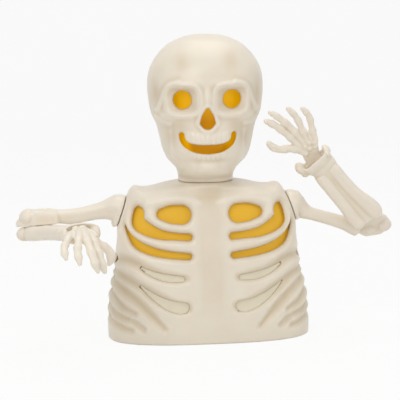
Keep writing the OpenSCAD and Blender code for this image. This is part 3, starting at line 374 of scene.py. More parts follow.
# %% [markdown]
# ## Ivory plastic
# The shells are blow-moulded polyethylene in an ivory tint, the same on the arms, where the tones
# are a little lighter as painted light. It has a soft satin gloss, lets a little light into its
# skin, and carries a painted tan shade that sits in the hollows. The painted shade reads a value
# stored on each point of the mesh, where 0 is a crest and 1 the bottom of a groove.

# %% Ivory moulded polyethylene
def ivory_plastic(name, crest, hollow, rough):
    """Satin polyethylene: colour from crest to hollow tone by the stored painted shade of the hollows,
    faint flow marks 25 mm long, grain of 0.5 mm in the bump, and roughness that varies with the same grain."""
    material, tree, out = new_material(name)
    place = add_node(tree, "TexCoord").outputs["Object"]
    painted_shade = add_node(tree, "Attribute", {"attribute_name": "painted_shade"})
    flow, grain = noise(tree, place, 40.0, 3.0), noise(tree, place, 1400.0, 2.0, 0.6)
    uneven = add_node(tree, "Math", {"operation": "MULTIPLY_ADD", 1: 0.22, 2: -0.11}, _0=flow)
    share = add_node(tree, "Math", {"operation": "ADD", "use_clamp": True}, _0=painted_shade.outputs["Fac"],
                     _1=uneven.outputs[0])
    rough_map = add_node(tree, "MapRange", {3: rough - 0.05, 4: rough + 0.07}, Value=grain)
    relief = add_node(tree, "Bump", {"Strength": 0.12, "Distance": 0.0004}, Height=grain)
    plastic(tree, out, {"IOR": 1.5, "Subsurface Weight": 0.18, "Subsurface Radius": (1.0, 0.75, 0.5),
                        "Subsurface Scale": 0.003, "Specular IOR Level": 0.5},
            Base_Color=between(tree, crest, hollow, share.outputs[0]), Roughness=rough_map.outputs[0],
            Normal=relief.outputs[0])
    return material


ivory = ivory_plastic("ivory_moulded_polyethylene", "#efe6d6", "#c9b288", 0.34)
# The arms' copy of the same plastic has both tones a little lighter: painted light, for arms shown more
# brightly lit.
lighter_arm_ivory = ivory_plastic("arm_ivory_painted_light_polyethylene", "#f0e7d8", "#cdb78c", 0.34)
print("materials:", ivory.name, lighter_arm_ivory.name)


# %% [markdown]
# The liners are thin tinted sheets lit from behind by small lamps. A weak glow of their own
# colour stands for that light, brighter where the sheet is near a lamp.

# %% Amber and pale liners
def lit_liner(name, colour, glow, strength, rough, lamp_z=None):
    """Tinted translucent sheet: base colour, a patchy glow 60 mm across and a satin face.
    With lamp_z the glow colour takes over above that height, in metres, over 15 mm, and
    beyond 20 to 27 mm from the middle."""
    material, tree, out = new_material(name)
    place = add_node(tree, "TexCoord").outputs["Object"]
    near = patch = noise(tree, place, 16.0, 1.0)
    if lamp_z:
        split = add_node(tree, "SeparateXYZ", Vector=place)
        ramp = add_node(tree, "MapRange", {1: lamp_z, 2: lamp_z + 0.015, 3: -0.2, 4: 0.8},
                        Value=split.outputs["Z"])
        side = add_node(tree, "Math", {"operation": "ABSOLUTE"}, _0=split.outputs["X"])
        wide = add_node(tree, "MapRange", {1: 0.020, 2: 0.027, 3: -0.2, 4: 0.8}, Value=side.outputs[0])
        lit = add_node(tree, "Math", {"operation": "MAXIMUM"}, _0=ramp.outputs[0], _1=wide.outputs[0])
        near = add_node(tree, "Math", {"operation": "MULTIPLY_ADD", "use_clamp": True, 1: 0.4},
                        _0=patch, _2=lit.outputs[0]).outputs[0]
    tone = between(tree, colour, glow, near)
    plastic(tree, out, {"Roughness": rough, "Emission Strength": strength, "Specular IOR Level": 0.25},
            Base_Color=tone, Emission_Color=tone)
    return material


amber_chest = lit_liner("chest_amber_lit_polypropylene", "#c99a26", "#d8ac34", 0.34, 0.5)
amber_head = lit_liner("head_amber_lit_polypropylene", "#c68a00", "#e0ab00", 0.42, 0.45, 0.283)
pale_insert = lit_liner("pale_frosted_polypropylene", "#d9d1bb", "#e2dac6", 0.08, 0.55)
print("liners:", amber_chest.name, amber_head.name, pale_insert.name)

# %% [markdown]
# ## Torso shell
# The torso is one hollow moulding split down its sides. Across it the shape is a rounded
# rectangle, upwards it tapers to sloping shoulders and a short neck. Ribs are what is left
# between long dished channels, which curve up and round the sides. The three upper pairs of
# channels open through the wall; the next two hold a pale insert.

# %% Torso form
BASE_W, CHEST_W, BASE_D, TORSO_H, NECK_R = 262.0, 231.0, 142.0, 200.0, 36.0
hw, cw, hd = BASE_W / 2, CHEST_W / 2, BASE_D / 2
TORSO = np.array([
    [0, hw, hd, hd - 1], [0.06 * TORSO_H, hw + 0.5, hd + 1, hd], [0.225 * TORSO_H, hw, hd + 2, hd],
    [0.4 * TORSO_H, hw - 5.5, hd + 0.5, hd - 2], [0.56 * TORSO_H, cw + 3.5, hd - 2, hd - 5],
    [0.65 * TORSO_H, cw + 1, hd - 4.5, hd - 8], [0.74 * TORSO_H, cw, hd - 8, hd - 11],
    [0.84 * TORSO_H, cw - 6.5, hd - 13, hd - 15], [0.92 * TORSO_H, cw - 12.5, hd - 18, hd - 21],
    [TORSO_H - 9, cw - 17.5, hd - 24, hd - 26], [TORSO_H - 5.5, cw - 27.5, hd - 28, hd - 30],
    [TORSO_H - 3, NECK_R + 24, NECK_R + 4, NECK_R + 3], [TORSO_H, NECK_R, NECK_R, NECK_R],
    [TORSO_H, NECK_R - 10, NECK_R - 10, NECK_R - 10]])
TOP = len(TORSO) - 1


def torso_point(a, u):
    """Superellipse of power 2.7 through each row, easing to a circle at the neck, with
    raised shoulder tips."""
    a, u = np.broadcast_arrays(np.asarray(a, float), np.asarray(u, float))
    s, k = spline(TORSO, u), np.clip((u - 10) / 2, 0, 1)
    e, c, t = 2 / (2.7 - 0.7 * k), np.cos(a), np.sin(a)
    x = s[..., 1] * spow(c, e)
    y = -np.where(t > 0, s[..., 2], s[..., 3]) * spow(t, e)
    lift = np.clip((u - 8) / 1.5, 0, 1) * np.clip(TOP - 1 - u, 0, 1)
    raised = lift * (4 * bump(np.abs(x) - 95, 0, 9, 1) - 2.2 * bump(np.abs(x) - 72, 0, 16, 1))
    collar = 2.6 * smooth(u, 9.5, 11.2)
    return np.stack([x, y, s[..., 0] + raised + collar], -1)


def torso_grid(start, end, columns, rows):
    """Grid of points from turn start to end, evenly spaced round a middle row and up the side."""
    t = np.linspace(0, 1, 3001)
    a = start + (end - start) * even_steps(torso_point(start + (end - start) * t, 3.0 + 0 * t), columns)
    u = TOP * even_steps(torso_point(0.6 + 0 * t, TOP * t), rows)
    return a, u, torso_point(a[:, None], u[None])


def girth(x, z):
    """Distance round the front from the middle line to the place at x and height z."""
    a = np.pi / 2 - np.linspace(0, 1, 1200) ** 1.5 * (np.pi / 2 + 0.7)
    u = np.interp(z, TORSO[:10, 0], np.arange(10))
    line = torso_point(a, u + 0 * a)
    run = np.concatenate([[0], np.cumsum(np.linalg.norm(np.diff(line, axis=0), axis=1))])
    turn = np.argmax(line[:, 0])
    return float(np.interp(abs(x), line[:turn, 0], run[:turn]))


print("torso height", TORSO_H, "girth to the side seam", round(girth(130, 40), 1))

# %% Rib channels and openings
# Chains of discs [place round the torso, height, radius], mirrored to both sides
def on_girth(chain):
    """A chain whose places across are turned into distances round the torso."""
    return np.array([[girth(x, z), z, r] for x, z, r in chain])


TOP_GAP = on_girth([[36, 166.4, 11.8], [49, 167.2, 11], [62, 167.4, 6.6]])
SIDE_GAP = on_girth([[93, 167, 9.6], [93.5, 157, 10], [83, 149, 8.6], [65, 142, 6], [46, 139.5, 4.4],
                     [28, 138, 4.2]])
WAIST_GAP = on_girth([[110, 150, 1.8], [105.5, 139, 3.8], [97, 129.5, 5.2], [79, 121.5, 5.2],
                      [56, 116.5, 4.4], [29, 113.6, 3.9]])
UPPER_SLOT = on_girth([[91, 99, 1.6], [75, 91.5, 3.6], [56, 86.5, 4.6], [38, 85.3, 3.4]])
LOWER_SLOT = on_girth([[92, 76, 1.4], [75, 62.6, 4], [57, 52.5, 6.4], [44, 48.6, 7.6], [37, 48.3, 7]])
# The channels in which the slots lie run on round the sides: [place round, height, half width]
CHANNELS = [
    [[34, 85, 4], [48, 86, 6], [64, 89, 6.5], [82, 96, 6.5], [96, 103, 6], [112, 108, 5.5], [130, 108, 5],
     [162, 103, 5]],
    [[34, 48, 7], [48, 50, 8], [66, 58, 8], [84, 69, 7], [100, 78, 6], [116, 86, 5.5], [135, 90, 5],
     [165, 90, 5]],
    [[62, 21, 2.5], [76, 36, 4.5], [92, 51, 6], [108, 63, 6], [126, 73, 5.5], [146, 79, 5], [168, 80, 4.5]],
    [[101, 40, 3], [117, 46, 4.5], [129, 53, 4.5], [146, 62, 4.5], [168, 64, 4]],
    [[111, 32, 3.5], [130, 36, 4.5], [150, 43, 4.5], [168, 46, 4]],
    [[106, 17.5, 2.5], [119, 20, 3.5], [131, 24, 4], [150, 28, 4], [168, 30, 3.5]]]
OVAL = [[90, 20, 3.6], [98, 25.5, 4.4], [106, 30, 3.4]]
OPEN = [TOP_GAP, SIDE_GAP, WAIST_GAP]
SLOTS = [UPPER_SLOT, LOWER_SLOT]


def torso_relief(s, z):
    """How far the ribs' channels sink below the plain form: a cosine dish across each channel, whose depth
    grows with its width; a smaller dish round each opening; a shallow breastbone and raised collarbones."""
    s = np.abs(s)
    sink = np.zeros(np.shape(s))
    for chain in CHANNELS:
        d = chain_distance(s, z, chain)
        sink = np.maximum(sink, 4.6 * (1 - smooth(d, -5.5, 5.0)))
    sink = np.maximum(sink, 3.2 * (1 - smooth(chain_distance(s, z, OVAL), -2.5, 3)))
    for chain in OPEN:
        sink = np.maximum(sink, 3.4 * (1 - smooth(chain_distance(s, z, chain), -1, 7)))
    collar = [[14, 181, 3], [36, 186, 3], [60, 184.5, 3.5], [80, 181, 4]]
    sink = sink - 1.3 * (1 - smooth(chain_distance(s, z, collar), -2, 5))
    bone = 1.3 * (1 - smooth(s, 9, 22)) * smooth(z, 25, 60)
    return sink + bone + 2.2 * bump(s, z - 186, 16, 12)


def open_field(s, z, chains):
    """Distance to the nearest of the mirrored openings, positive outside them."""
    return np.min([chain_distance(np.abs(s), z, c) for c in chains], axis=0)


print("channels:", len(CHANNELS), "openings:", 2 * (len(OPEN) + len(SLOTS)))

# %% [markdown]
# Each half is built the same way: the plain form, pushed in along its normals by the relief,
# turned over at the lips of the openings, at the side seam and at the foot, flattened where an
# arm's flange sits, then given a wall. Each point also keeps how deep it was pushed, for painted shade.

# %% Torso halves
SHOULDERS = {"left": 1, "right": -1}
SHOULDER_X, SHOULDER_Z, TILT, SEAT_R = 109.7, 165.0, math.radians(18.9), 20.8
TORSO_WALL, SKULL_WALL, INSERT_WALL, LINER_WALL = 2.8, 2.6, 2.6, 1.4


def turned_in(h, r):
    """Depth of a rounded lip: 0 at r from the edge, r at the edge, along a quarter circle."""
    t = np.clip(1 - np.asarray(h) / r, 0, 1)
    return r * (1 - np.sqrt(1 - t ** 2))


def seat_flat(p):
    """Lays the points round each shoulder axis on the seat's plane, with a 3 mm blend
    outside the flange."""
    for side in SHOULDERS.values():
        axis = np.array([side * math.cos(TILT), 0, math.sin(TILT)])
        d = p - np.array([side * SHOULDER_X, 0, SHOULDER_Z])
        along = d @ axis
        away = np.linalg.norm(d - along[..., None] * axis, axis=-1)
        share = (1 - smooth(away, SEAT_R + 0.2, SEAT_R + 3.2)) * (along > -30)
        p = p - (share * (along + 0.03))[..., None] * axis
    return p


def torso_piece(name, start, end, side):
    """Makes one half of the torso as a cut and thickened sheet. Gives its grid and the
    distance to its slots."""
    a, u, p = torso_grid(start, end, 250, 184)
    n = grid_normals(p)
    mid = len(a) // 2
    run = np.concatenate([[np.zeros(p.shape[1])],
                          np.cumsum(np.linalg.norm(np.diff(p, axis=0), axis=2), axis=0)])
    s, z = run - run[mid], p[..., 2]
    if side < 0:
        sink, h = torso_relief(s, z), open_field(s, z, OPEN)
        slot = open_field(s, z, SLOTS)
    else:
        sink, h = back_relief(s, z), back_openings(p)
        slot = np.full(h.shape, 50.0)
    edge = np.minimum(run, run[-1] - run)
    fade = smooth(z, 5, 14) * (1 - smooth(u[None] + 0 * z, 10.2, 11))
    deep = sink * fade + turned_in(h, 2.4) + turned_in(slot, 0.9) + turned_in(edge, 0.35)
    deep = deep + turned_in(z, 1.6) * (u[None] < 1)
    moved = seat_flat(p - np.sign(np.sum(n * (p - [0, 0, 80]), -1, keepdims=True)) * n * deep[..., None])
    moved[..., 2] = np.maximum(moved[..., 2], 0)
    # Painted shade: darker in the rib channels and near the lips of the openings, where shade falls.
    painted_shade = np.clip(0.04 + 0.105 * sink * fade + 0.1 * smooth(4 - h, 0, 4), 0, 1)
    points, tri = cut_grid(moved, np.minimum(h, slot))
    piece = add_piece(name, points, tri, ivory, "torso", [name.replace("_shell", "")],
                      {"painted_shade": painted_shade.reshape(-1)})
    outwards(piece, (0, 0, 0.08))
    thicken(piece, TORSO_WALL)
    return moved, slot


def outwards(obj, centre):
    """Turns a sheet's faces away from centre, judged by the sum over its faces."""
    mesh = obj.data
    c = np.zeros(len(mesh.polygons) * 3)
    v = np.zeros(len(mesh.polygons) * 3)
    mesh.polygons.foreach_get("center", c)
    mesh.polygons.foreach_get("normal", v)
    if np.sum((c.reshape(-1, 3) - centre) * v.reshape(-1, 3)) < 0:
        mesh.flip_normals()


# Places of the battery door's frame and the switch in the back, from the solids
bay_low, bay_high = (np.array(c) * 1000 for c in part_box("battery_box"))
knob_low, knob_high = (np.array(c) * 1000 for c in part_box("switch_slider"))
frame_w, frame_z = 73.5, (bay_low[2] + 2.5, bay_high[2] - 2.5)


def back_openings(p):
    """Distance outside the battery frame's window and the switch's slot in the back."""
    def outside_box(x0, x1, z0, z1, r):
        dx = np.maximum(x0 + r - p[..., 0], p[..., 0] - x1 + r)
        dz = np.maximum(z0 + r - p[..., 2], p[..., 2] - z1 + r)
        return np.hypot(np.maximum(dx, 0), np.maximum(dz, 0)) + np.minimum(np.maximum(dx, dz), 0) - r
    mid_z = (knob_low[2] + knob_high[2]) / 2
    return np.minimum(outside_box(-frame_w / 2, frame_w / 2, *frame_z, 1.5),
                      outside_box(-5, 5, mid_z - 2.5, mid_z + 2.5, 1.2))


def back_relief(s, z):
    """Channels between the back's ribs, a ridge of spine knobs, and two shoulder blades with sunk rims."""
    s = np.abs(s)
    sink = np.zeros(np.shape(s))
    for chain in CHANNELS[:3]:
        low = chain[0][1]
        d = chain_distance(s, z, [[14, low + 62, 3], [60, low + 52, 5], [110, low + 34, 5],
                                  [150, chain[-1][1], 4.5]])
        sink = np.maximum(sink, 3.4 * (1 - smooth(d, -5, 5)) * smooth(z, 96, 108))
    for chain in CHANNELS[1:]:
        d = chain_distance(s, z, [[48, chain[-1][1] + 4, 3], [90, chain[-1][1] + 4, 5],
                                  [165, chain[-1][1], 4.5]])
        sink = np.maximum(sink, 3.6 * (1 - smooth(d, -5, 5)))
    spine = (1 - smooth(s, 3, 9)) * (0.75 + 0.5 * np.cos(2 * np.pi * z / 15.0)) * smooth(z, 112, 120)
    return sink - 1.0 * spine + 1.2 * bump(s - 9, 0, 4, 1e6) * smooth(z, 112, 120)


front_grid, slot_field = torso_piece("torso_front_shell", 0.0, np.pi, -1)
torso_piece("torso_back_shell", np.pi, 2 * np.pi, 1)

# %% [markdown]
# The pale inserts fill the two lower pairs of slots nearly flush, so only a fine line shows round
# them. They come from the same grid: the part inside the slots, 0.3 mm under the face. The amber
# liners follow the wall a finger's width behind it, and show through the open channels.

# %% Inserts and liners
INSERT_GAP, INSERT_DEPTH = 0.2, 0.3
front_normals = grid_normals(front_grid)
front_normals *= np.sign(np.sum(front_normals * (front_grid - [0, 0, 80]), -1, keepdims=True))
insert_points, insert_faces = cut_grid(front_grid - front_normals * INSERT_DEPTH, -slot_field - INSERT_GAP)
inserts = add_piece("pale_inserts", insert_points, insert_faces, pale_insert, "torso", ["belly_panel"])
outwards(inserts, (0, 0, 0.08))
thicken(inserts, INSERT_WALL)


def liner(name, point, a, u, depth, material, node, body, centre):
    """An amber sheet that follows a form at a depth behind its face, from turns a and rows u."""
    p = point(a[:, None], u[None])
    n = grid_normals(p)
    n = n * np.sign(np.sum(n * (p - centre), -1, keepdims=True))
    rows, cols = p.shape[:2]
    idx = np.arange(rows * cols).reshape(rows, cols)
    quads = np.stack([idx[:-1, :-1], idx[1:, :-1], idx[1:, 1:], idx[:-1, 1:]], -1).reshape(-1, 4)
    piece = add_piece(name, (p - n * depth).reshape(-1, 3), quads, material, body, [node])
    outwards(piece, np.array(centre) / 1000)
    thicken(piece, LINER_WALL)


rad = np.radians
liner("chest_liner", torso_point, rad(np.linspace(9, 171, 110)), np.linspace(3.8, 8.1, 60), 9.5,
      amber_chest, "chest_diffuser", "torso", (0, 0, 80))

# %% [markdown]
# ## Skull
# The skull is a hollow egg, wide at the temples and drawn in to a short neck, split into a face
# and a back. The features are a height map over the face: brow and socket rims, a narrow bridge,
# a pear-shaped nose opening with a raised rim, cheekbones over hollow cheeks, and faint teeth
# above and below a grin that opens through the wall.

# %% Skull form
HEAD_H, HEAD_W, HEAD_FRONT, HEAD_BACK, HEAD_TURN = 194.0, 150.0, 76.0, 94.0, 3.0
sw, sf, sb = HEAD_W / 2, HEAD_FRONT, HEAD_BACK
SKULL = np.array([
    [0.0015, NECK_R, NECK_R, NECK_R], [0.03, NECK_R, NECK_R + 1, NECK_R],
    [0.05, NECK_R + 0.5, NECK_R + 11, NECK_R + 0.5], [0.07, NECK_R + 1.5, sf - 14, NECK_R + 2],
    [0.105, NECK_R + 5, sf - 9, NECK_R + 7], [0.16, sw - 24, sf - 6, sb - 40],
    [0.225, sw - 18, sf - 4, sb - 28], [0.3, sw - 14.5, sf - 4, sb - 16], [0.39, sw - 10.5, sf - 5, sb - 7],
    [0.475, sw - 3.5, sf - 4, sb - 2], [0.575, sw - 0.5, sf - 2, sb], [0.67, sw, sf, sb - 1],
    [0.755, sw - 2.5, sf - 2, sb - 6], [0.825, sw - 9, sf - 8, sb - 13],
    [0.885, sw - 17.5, sf - 17, sb - 23], [0.935, sw - 28, sf - 28, sb - 36],
    [0.97, sw - 41, sf - 40, sb - 51], [0.993, sw - 56, sf - 56, sb - 70], [1.0, 0, 0, 0]])
SKULL[:, 0] = TORSO_H + SKULL[:, 0] * HEAD_H
CROWN = len(SKULL) - 1
EYE_Z, NOSE_Z, MOUTH_Z = (TORSO_H + k * HEAD_H for k in (0.57, 0.44, 0.25))
EYE_X, EYE_R = 31.7, 11.6


def skull_point(a, u):
    """Superellipse of power 2.25 through each row; the last row is the crown, where it
    closes to a point."""
    a, u = np.broadcast_arrays(np.asarray(a, float), np.asarray(u, float))
    s, e, c, t = spline(SKULL, u), 2 / 2.25, np.cos(a), np.sin(a)
    half = np.maximum(s[..., 1:], 0)
    return np.stack([half[..., 0] * spow(c, e), -np.where(t > 0, half[..., 1], half[..., 2]) * spow(t, e),
                     s[..., 0]], -1)


def ridge(x, z, line, height, width):
    """A soft crest of some height along a line of [x, z] points on both sides."""
    d = chain_distance(np.abs(x), z, [[*q, 0.0] for q in line])
    return height * np.exp(-(d / width) ** 2)


def socket_radius(x, z):
    """1 on the rounded-square rim of an eye socket, less inside it."""
    return (np.abs((np.abs(x) - EYE_X + 1) / 19.5) ** 3 + np.abs((z - EYE_Z + 0.5) / 17.5) ** 3) ** (1 / 3)


NOSE = [[0, NOSE_Z + 11.6, 3.2], [0, NOSE_Z + 7.5, 5], [0, NOSE_Z + 3, 7.4], [0, NOSE_Z - 2.5, 9.2]]
NOSE_FOOT = [[-6.5, NOSE_Z - 4, 3.2], [0, NOSE_Z - 9, 2.6], [6.5, NOSE_Z - 4, 3.2]]
GRIN = [[0, MOUTH_Z - 0.2, 6.0], [12, MOUTH_Z + 0.4, 5.4], [22, MOUTH_Z + 2.6, 4.5],
        [29.5, MOUTH_Z + 7, 3.8], [33, MOUTH_Z + 12.5, 3.6], [33.6, MOUTH_Z + 17.6, 3.4]]


def nose_field(x, z):
    """Distance to the nose opening, negative inside."""
    return np.minimum(chain_distance(x, z, NOSE), chain_distance(x, z, NOSE_FOOT))


def teeth(x, z):
    """Two rows of low pads: upright grooves every 6.8 mm above the grin and every 6 mm
    below, faded at the ends."""
    arch = MOUTH_Z + 4.5 + 0.006 * x ** 2
    upper = (smooth(z, arch, arch + 2.5) * (1 - smooth(z, arch + 10, arch + 17))
             * (1 - smooth(np.abs(x), 24, 28)))
    low = MOUTH_Z - 6.5 + 0.011 * x ** 2
    lower = (smooth(-z, -low, -low + 2) * (1 - smooth(-z, -low + 6, -low + 11))
             * (1 - smooth(np.abs(x), 20, 24)))
    return (upper * (0.9 * np.abs(np.cos(np.pi * x / 6.8)) ** 0.7 + 0.5)
            + lower * (0.7 * np.abs(np.cos(np.pi * x / 6.0)) ** 0.7 + 0.3))


def face_relief(x, z):
    """How far the face stands out of the plain skull, in millimetres: sums of soft
    bumps, dishes and crests."""
    q = socket_radius(x, z)
    ax = np.abs(x)
    out = -5.4 * (1 - smooth(q, 0.45, 1.1)) + 2.0 * np.exp(-((q - 1.14) / 0.15) ** 2)
    out = out + 2.6 * bump(ax - 27, z - EYE_Z - 21, 20, 6)
    out = out + 4.6 * bump(x, z - EYE_Z - 1, 4.5, 12) + 4 * bump(x, z - EYE_Z + 12, 11, 15)
    out = out + 3.6 * bump(ax - 48, z - EYE_Z + 21, 12, 8) - 5.6 * bump(ax - 47, z - EYE_Z + 47, 10, 15)
    out = out + 5 * bump(x, z - MOUTH_Z - 12, 27, 19) + 4 * bump(x, z - TORSO_H - 22, 20, 9)
    out = out + 1.7 * np.exp(-((nose_field(x, z) - 2.6) / 2.2) ** 2)
    out = out - 1.4 * bump(ax - 13, z - TORSO_H - 24, 5, 10) - 1.6 * bump(x, z - MOUTH_Z + 15, 26, 4)
    out = out + ridge(x, z, [[36, 333], [50, 328], [57, 312], [63, 297]], 2.6, 3.0)
    out = out + ridge(x, z, [[64, 288], [56, 281], [48, 279]], 2.2, 2.8)
    out = out + ridge(x, z, [[47, 272], [46, 250], [41, 232], [33, 222]], 1.3, 3.0)
    out = out - 3.4 * bump(ax - 66, z - 316, 7, 16) - 1.2 * bump(ax - 30, z - 357, 13, 14)
    return out + teeth(x, z)


def face_field(x, z):
    """Distance to the nearest of the eyes, the nose opening and the grin, positive outside."""
    eye = np.hypot(np.abs(x) - EYE_X, z - EYE_Z) - EYE_R
    grin = chain_distance(np.abs(x), z, GRIN)
    return np.minimum(np.minimum(eye, nose_field(x, z)), grin)


def settle_head(p):
    """Turns the head 3 degrees towards the drooping arm and sets it down: the crown is lower than the
    form's by 3 mm, the neck's edge higher by as much, and the skull leans 1.6 mm towards the waving arm."""
    c, s = math.cos(math.radians(-HEAD_TURN)), math.sin(math.radians(-HEAD_TURN))
    z = np.interp(p[..., 2], [TORSO_H, 235, 330, TORSO_H + HEAD_H], [TORSO_H + 2.8, 236.2, 330.6, 390.8])
    x = 0.988 * (p[..., 0] * c - p[..., 1] * s) + 1.6 * smooth(z, 205, 240)
    return np.stack([x, p[..., 0] * s + p[..., 1] * c, z], -1)


print("eyes at", EYE_Z, "nose at", NOSE_Z, "mouth at", MOUTH_Z)

# %% Skull halves
def skull_piece(name, start, end, node):
    """Face or back of the skull: form, height map, lips turned in, cut and thickened."""
    t = np.linspace(0, 1, 3001)
    a = start + (end - start) * even_steps(skull_point(start + (end - start) * t, 10.0 + 0 * t), 236)
    u = (CROWN - 0.03) * even_steps(skull_point(0.8 + 0 * t, (CROWN - 0.03) * t), 192)
    p = skull_point(a[:, None], u[None])
    n = grid_normals(p)
    n = n * np.sign(np.sum(n * (p - [0, 0, 290]), -1, keepdims=True))
    x, z = p[..., 0], p[..., 2]
    front = np.clip(-n[..., 1], 0, 1)
    share = smooth(front, 0.02, 0.5) * smooth(z, 206, 222) if start < 1 else 0 * x
    relief = face_relief(x, z) * share
    h = face_field(x, z) if start < 1 else np.full(x.shape, 50.0)
    edge = np.minimum(np.abs(p[..., 1]), 5.0)
    drop = turned_in(h, 1.6) + turned_in(edge, 0.22) + turned_in(z - z.min(), 0.8)
    ahead = smooth(front, 0.3, 0.7)[..., None]
    out = unit(n * (1 - ahead) + np.array([0, -1.0, 0]) * ahead)
    moved = settle_head(p + out * relief[..., None] - n * drop[..., None])
    # Painted shade: darker in the sockets, in other hollows and near the openings, lighter on crests, with
    # patches of painted shade on the forehead, the temples and beside the grin.
    lap = relief - 0.25 * (np.roll(relief, 5, 0) + np.roll(relief, -5, 0) + np.roll(relief, 4, 1)
                           + np.roll(relief, -4, 1))
    ax = np.abs(x)
    patch = (0.2 * bump(ax - 32, z - 358, 10, 15) + 0.2 * bump(ax - 66, z - 318, 8, 18)
             + 0.26 * bump(ax - 34, z - 276, 8, 8))
    painted_shade = np.clip(0.07 + 0.04 * np.maximum(-relief, 0) - 0.3 * lap + 0.12 * smooth(3 - h, 0, 3)
                   + patch * share, 0, 1)
    points, tri = cut_grid(moved, h)
    piece = add_piece(name, points, tri, ivory, "head", [node], {"painted_shade": painted_shade.reshape(-1)})
    outwards(piece, (0, 0, 0.29))
    thicken(piece, SKULL_WALL)


skull_piece("skull_face_shell", 0.0, np.pi, "skull_face")
skull_piece("skull_back_shell", np.pi, 2 * np.pi, "skull_back")

# %% Liner behind the face
def face_liner_point(a, u):
    """The plain skull with only the broad shapes of the face, turned with the head."""
    p = skull_point(a, u)
    q = 3 * np.exp(-socket_radius(p[..., 0], p[..., 2]) ** 4)
    return settle_head(p + np.stack([0 * q, 2 * q, 0 * q], -1))


liner("face_liner", face_liner_point, rad(np.linspace(38, 142, 90)), np.linspace(5.2, 11.4, 80), 11.0,
      amber_head, "head_diffuser", "head", (0, 0, 290))

# %% [markdown]
# ## Arms and hands
# Each bone is drawn in the frame of its own joint: a tube through rows of place and half sizes,
# with rounded ends. The tubes of one moulding are fused by a fine voxel remesh and smoothed, so
# they run into each other as cast shapes do. The hollows are found from the finished mesh itself,
# and a painted tan shade lies there, where shade falls.

# %% Frames of the joints
def turn(axis, degrees):
    """Rotation matrix about x, y or z."""
    c, s = math.cos(math.radians(degrees)), math.sin(math.radians(degrees))
    i, j = {"x": (1, 2), "y": (2, 0), "z": (0, 1)}[axis]
    m = np.eye(3)
    m[i, i] = m[j, j] = c
    m[i, j], m[j, i] = -s, s
    return m


SHOULDER = np.array([109.7, 0.0, 165.0])
FOREARM_L, FOREARM_MID, REST_BEND = 103.0, 9.8, -18.0
LEFT_ELBOW = (turn("x", 102), SHOULDER + [98.3, -11.5, -16])
RIGHT_ELBOW = (turn("x", 180) @ turn("z", 62.4) @ turn("y", 6.9) @ turn("z", -62.4),
               SHOULDER * [-1, 1, 1] + [-107.3, -5, -14])


def below(frame, matrix, shift=(0, 0, 0)):
    """The frame reached from another by a shift, then a turn."""
    return frame[0] @ matrix, frame[1] + frame[0] @ np.array(shift, float)


LEFT_FOREARM = below(LEFT_ELBOW, turn("z", 131))
RIGHT_FOREARM = below(RIGHT_ELBOW, turn("z", 62.4) @ np.diag([1.0, -1.0, 1.0]))
LEFT_WRIST = below(LEFT_FOREARM, np.eye(3), (FOREARM_L, 0, FOREARM_MID))
RIGHT_WRIST = below(RIGHT_FOREARM, turn("y", -REST_BEND), (FOREARM_L, 0, FOREARM_MID))
print("wrists", LEFT_WRIST[1].round(1), RIGHT_WRIST[1].round(1))

# %% Bones
def bone(rows, sides=32, steps=70, power=2.0, ends=(1.0, 1.0)):
    """Closed tube through rows [x, y, z, half width, half depth], bent in the xy plane; a sixth number
    gives the direction in degrees where the rings do not follow the path. Over the last e times its half
    width each end closes along an ellipse. The rings are superellipses of the given power."""
    rows = np.asarray(rows, float)
    r = spline(rows, (len(rows) - 1) * (0.5 - 0.5 * np.cos(np.linspace(0.02, np.pi - 0.02, steps))))
    along = unit(np.gradient(r[:, :2], axis=0))
    if rows.shape[1] > 5:
        along = np.stack([np.cos(np.radians(r[:, 5])), np.sin(np.radians(r[:, 5]))], -1)
    s = np.concatenate([[0], np.cumsum(np.linalg.norm(np.diff(r[:, :3], axis=0), axis=1))])
    size = np.ones(steps)
    for e, gone in ((ends[0], s), (ends[1], s[-1] - s)):
        size = np.minimum(size, np.sqrt(np.clip(1 - np.clip(1 - gone / (e * r[:, 3] + 1e-6), 0, 1) ** 2,
                                                0.002, 1)))
    a = np.linspace(0, 2 * np.pi, sides, endpoint=False)
    w = (r[:, 3] * size)[:, None] * spow(np.cos(a), 2 / power)
    d = (r[:, 4] * size)[:, None] * spow(np.sin(a), 2 / power)
    p = np.stack([r[:, 0, None] - w * along[:, 1, None], r[:, 1, None] + w * along[:, 0, None],
                  r[:, 2, None] + d], -1).reshape(-1, 3)
    k, j = np.meshgrid(np.arange(steps - 1), np.arange(sides), indexing="ij")
    a0, b0 = (k * sides + j).ravel(), (k * sides + (j + 1) % sides).ravel()
    faces = np.stack([a0, b0, b0 + sides, a0 + sides], 1).tolist()
    return p, faces + [list(range(sides))[::-1], list(range((steps - 1) * sides, steps * sides))]


def pebble(x, y, z, rx, ry, rz):
    """A small ellipsoid."""
    return bone([[x - rx, y, z, ry, rz], [x, y, z, ry, rz],
                 [x + rx, y, z, ry, rz]], 18, 14, ends=(rx / ry, rx / ry))


def block(discs, soft, foot):
    """Convex block over discs [x, y, radius, low z, high z], its edges drawn in by soft at the low z
    and by foot at the high z."""
    mesh = bmesh.new()
    a = np.linspace(0, 2 * np.pi, 20, endpoint=False)
    for x, y, r, z0, z1 in discs:
        for z, inset in ((z0, soft), (z0 + soft * 0.4, soft * 0.3), (z0 + soft * 1.1, 0),
                         (z1 - foot * 1.1, 0), (z1 - foot * 0.4, foot * 0.3), (z1, foot)):
            for t in a:
                mesh.verts.new((x + (r - inset) * math.cos(t), y + (r - inset) * math.sin(t), z))
    hull = bmesh.ops.convex_hull(mesh, input=mesh.verts)
    inner = [v for v in hull["geom_interior"] if isinstance(v, bmesh.types.BMVert)]
    bmesh.ops.delete(mesh, geom=inner, context="VERTS")
    mesh.verts.index_update()
    p = np.array([v.co[:] for v in mesh.verts])
    faces = [[v.index for v in f.verts] for f in mesh.faces]
    mesh.free()
    return p, faces


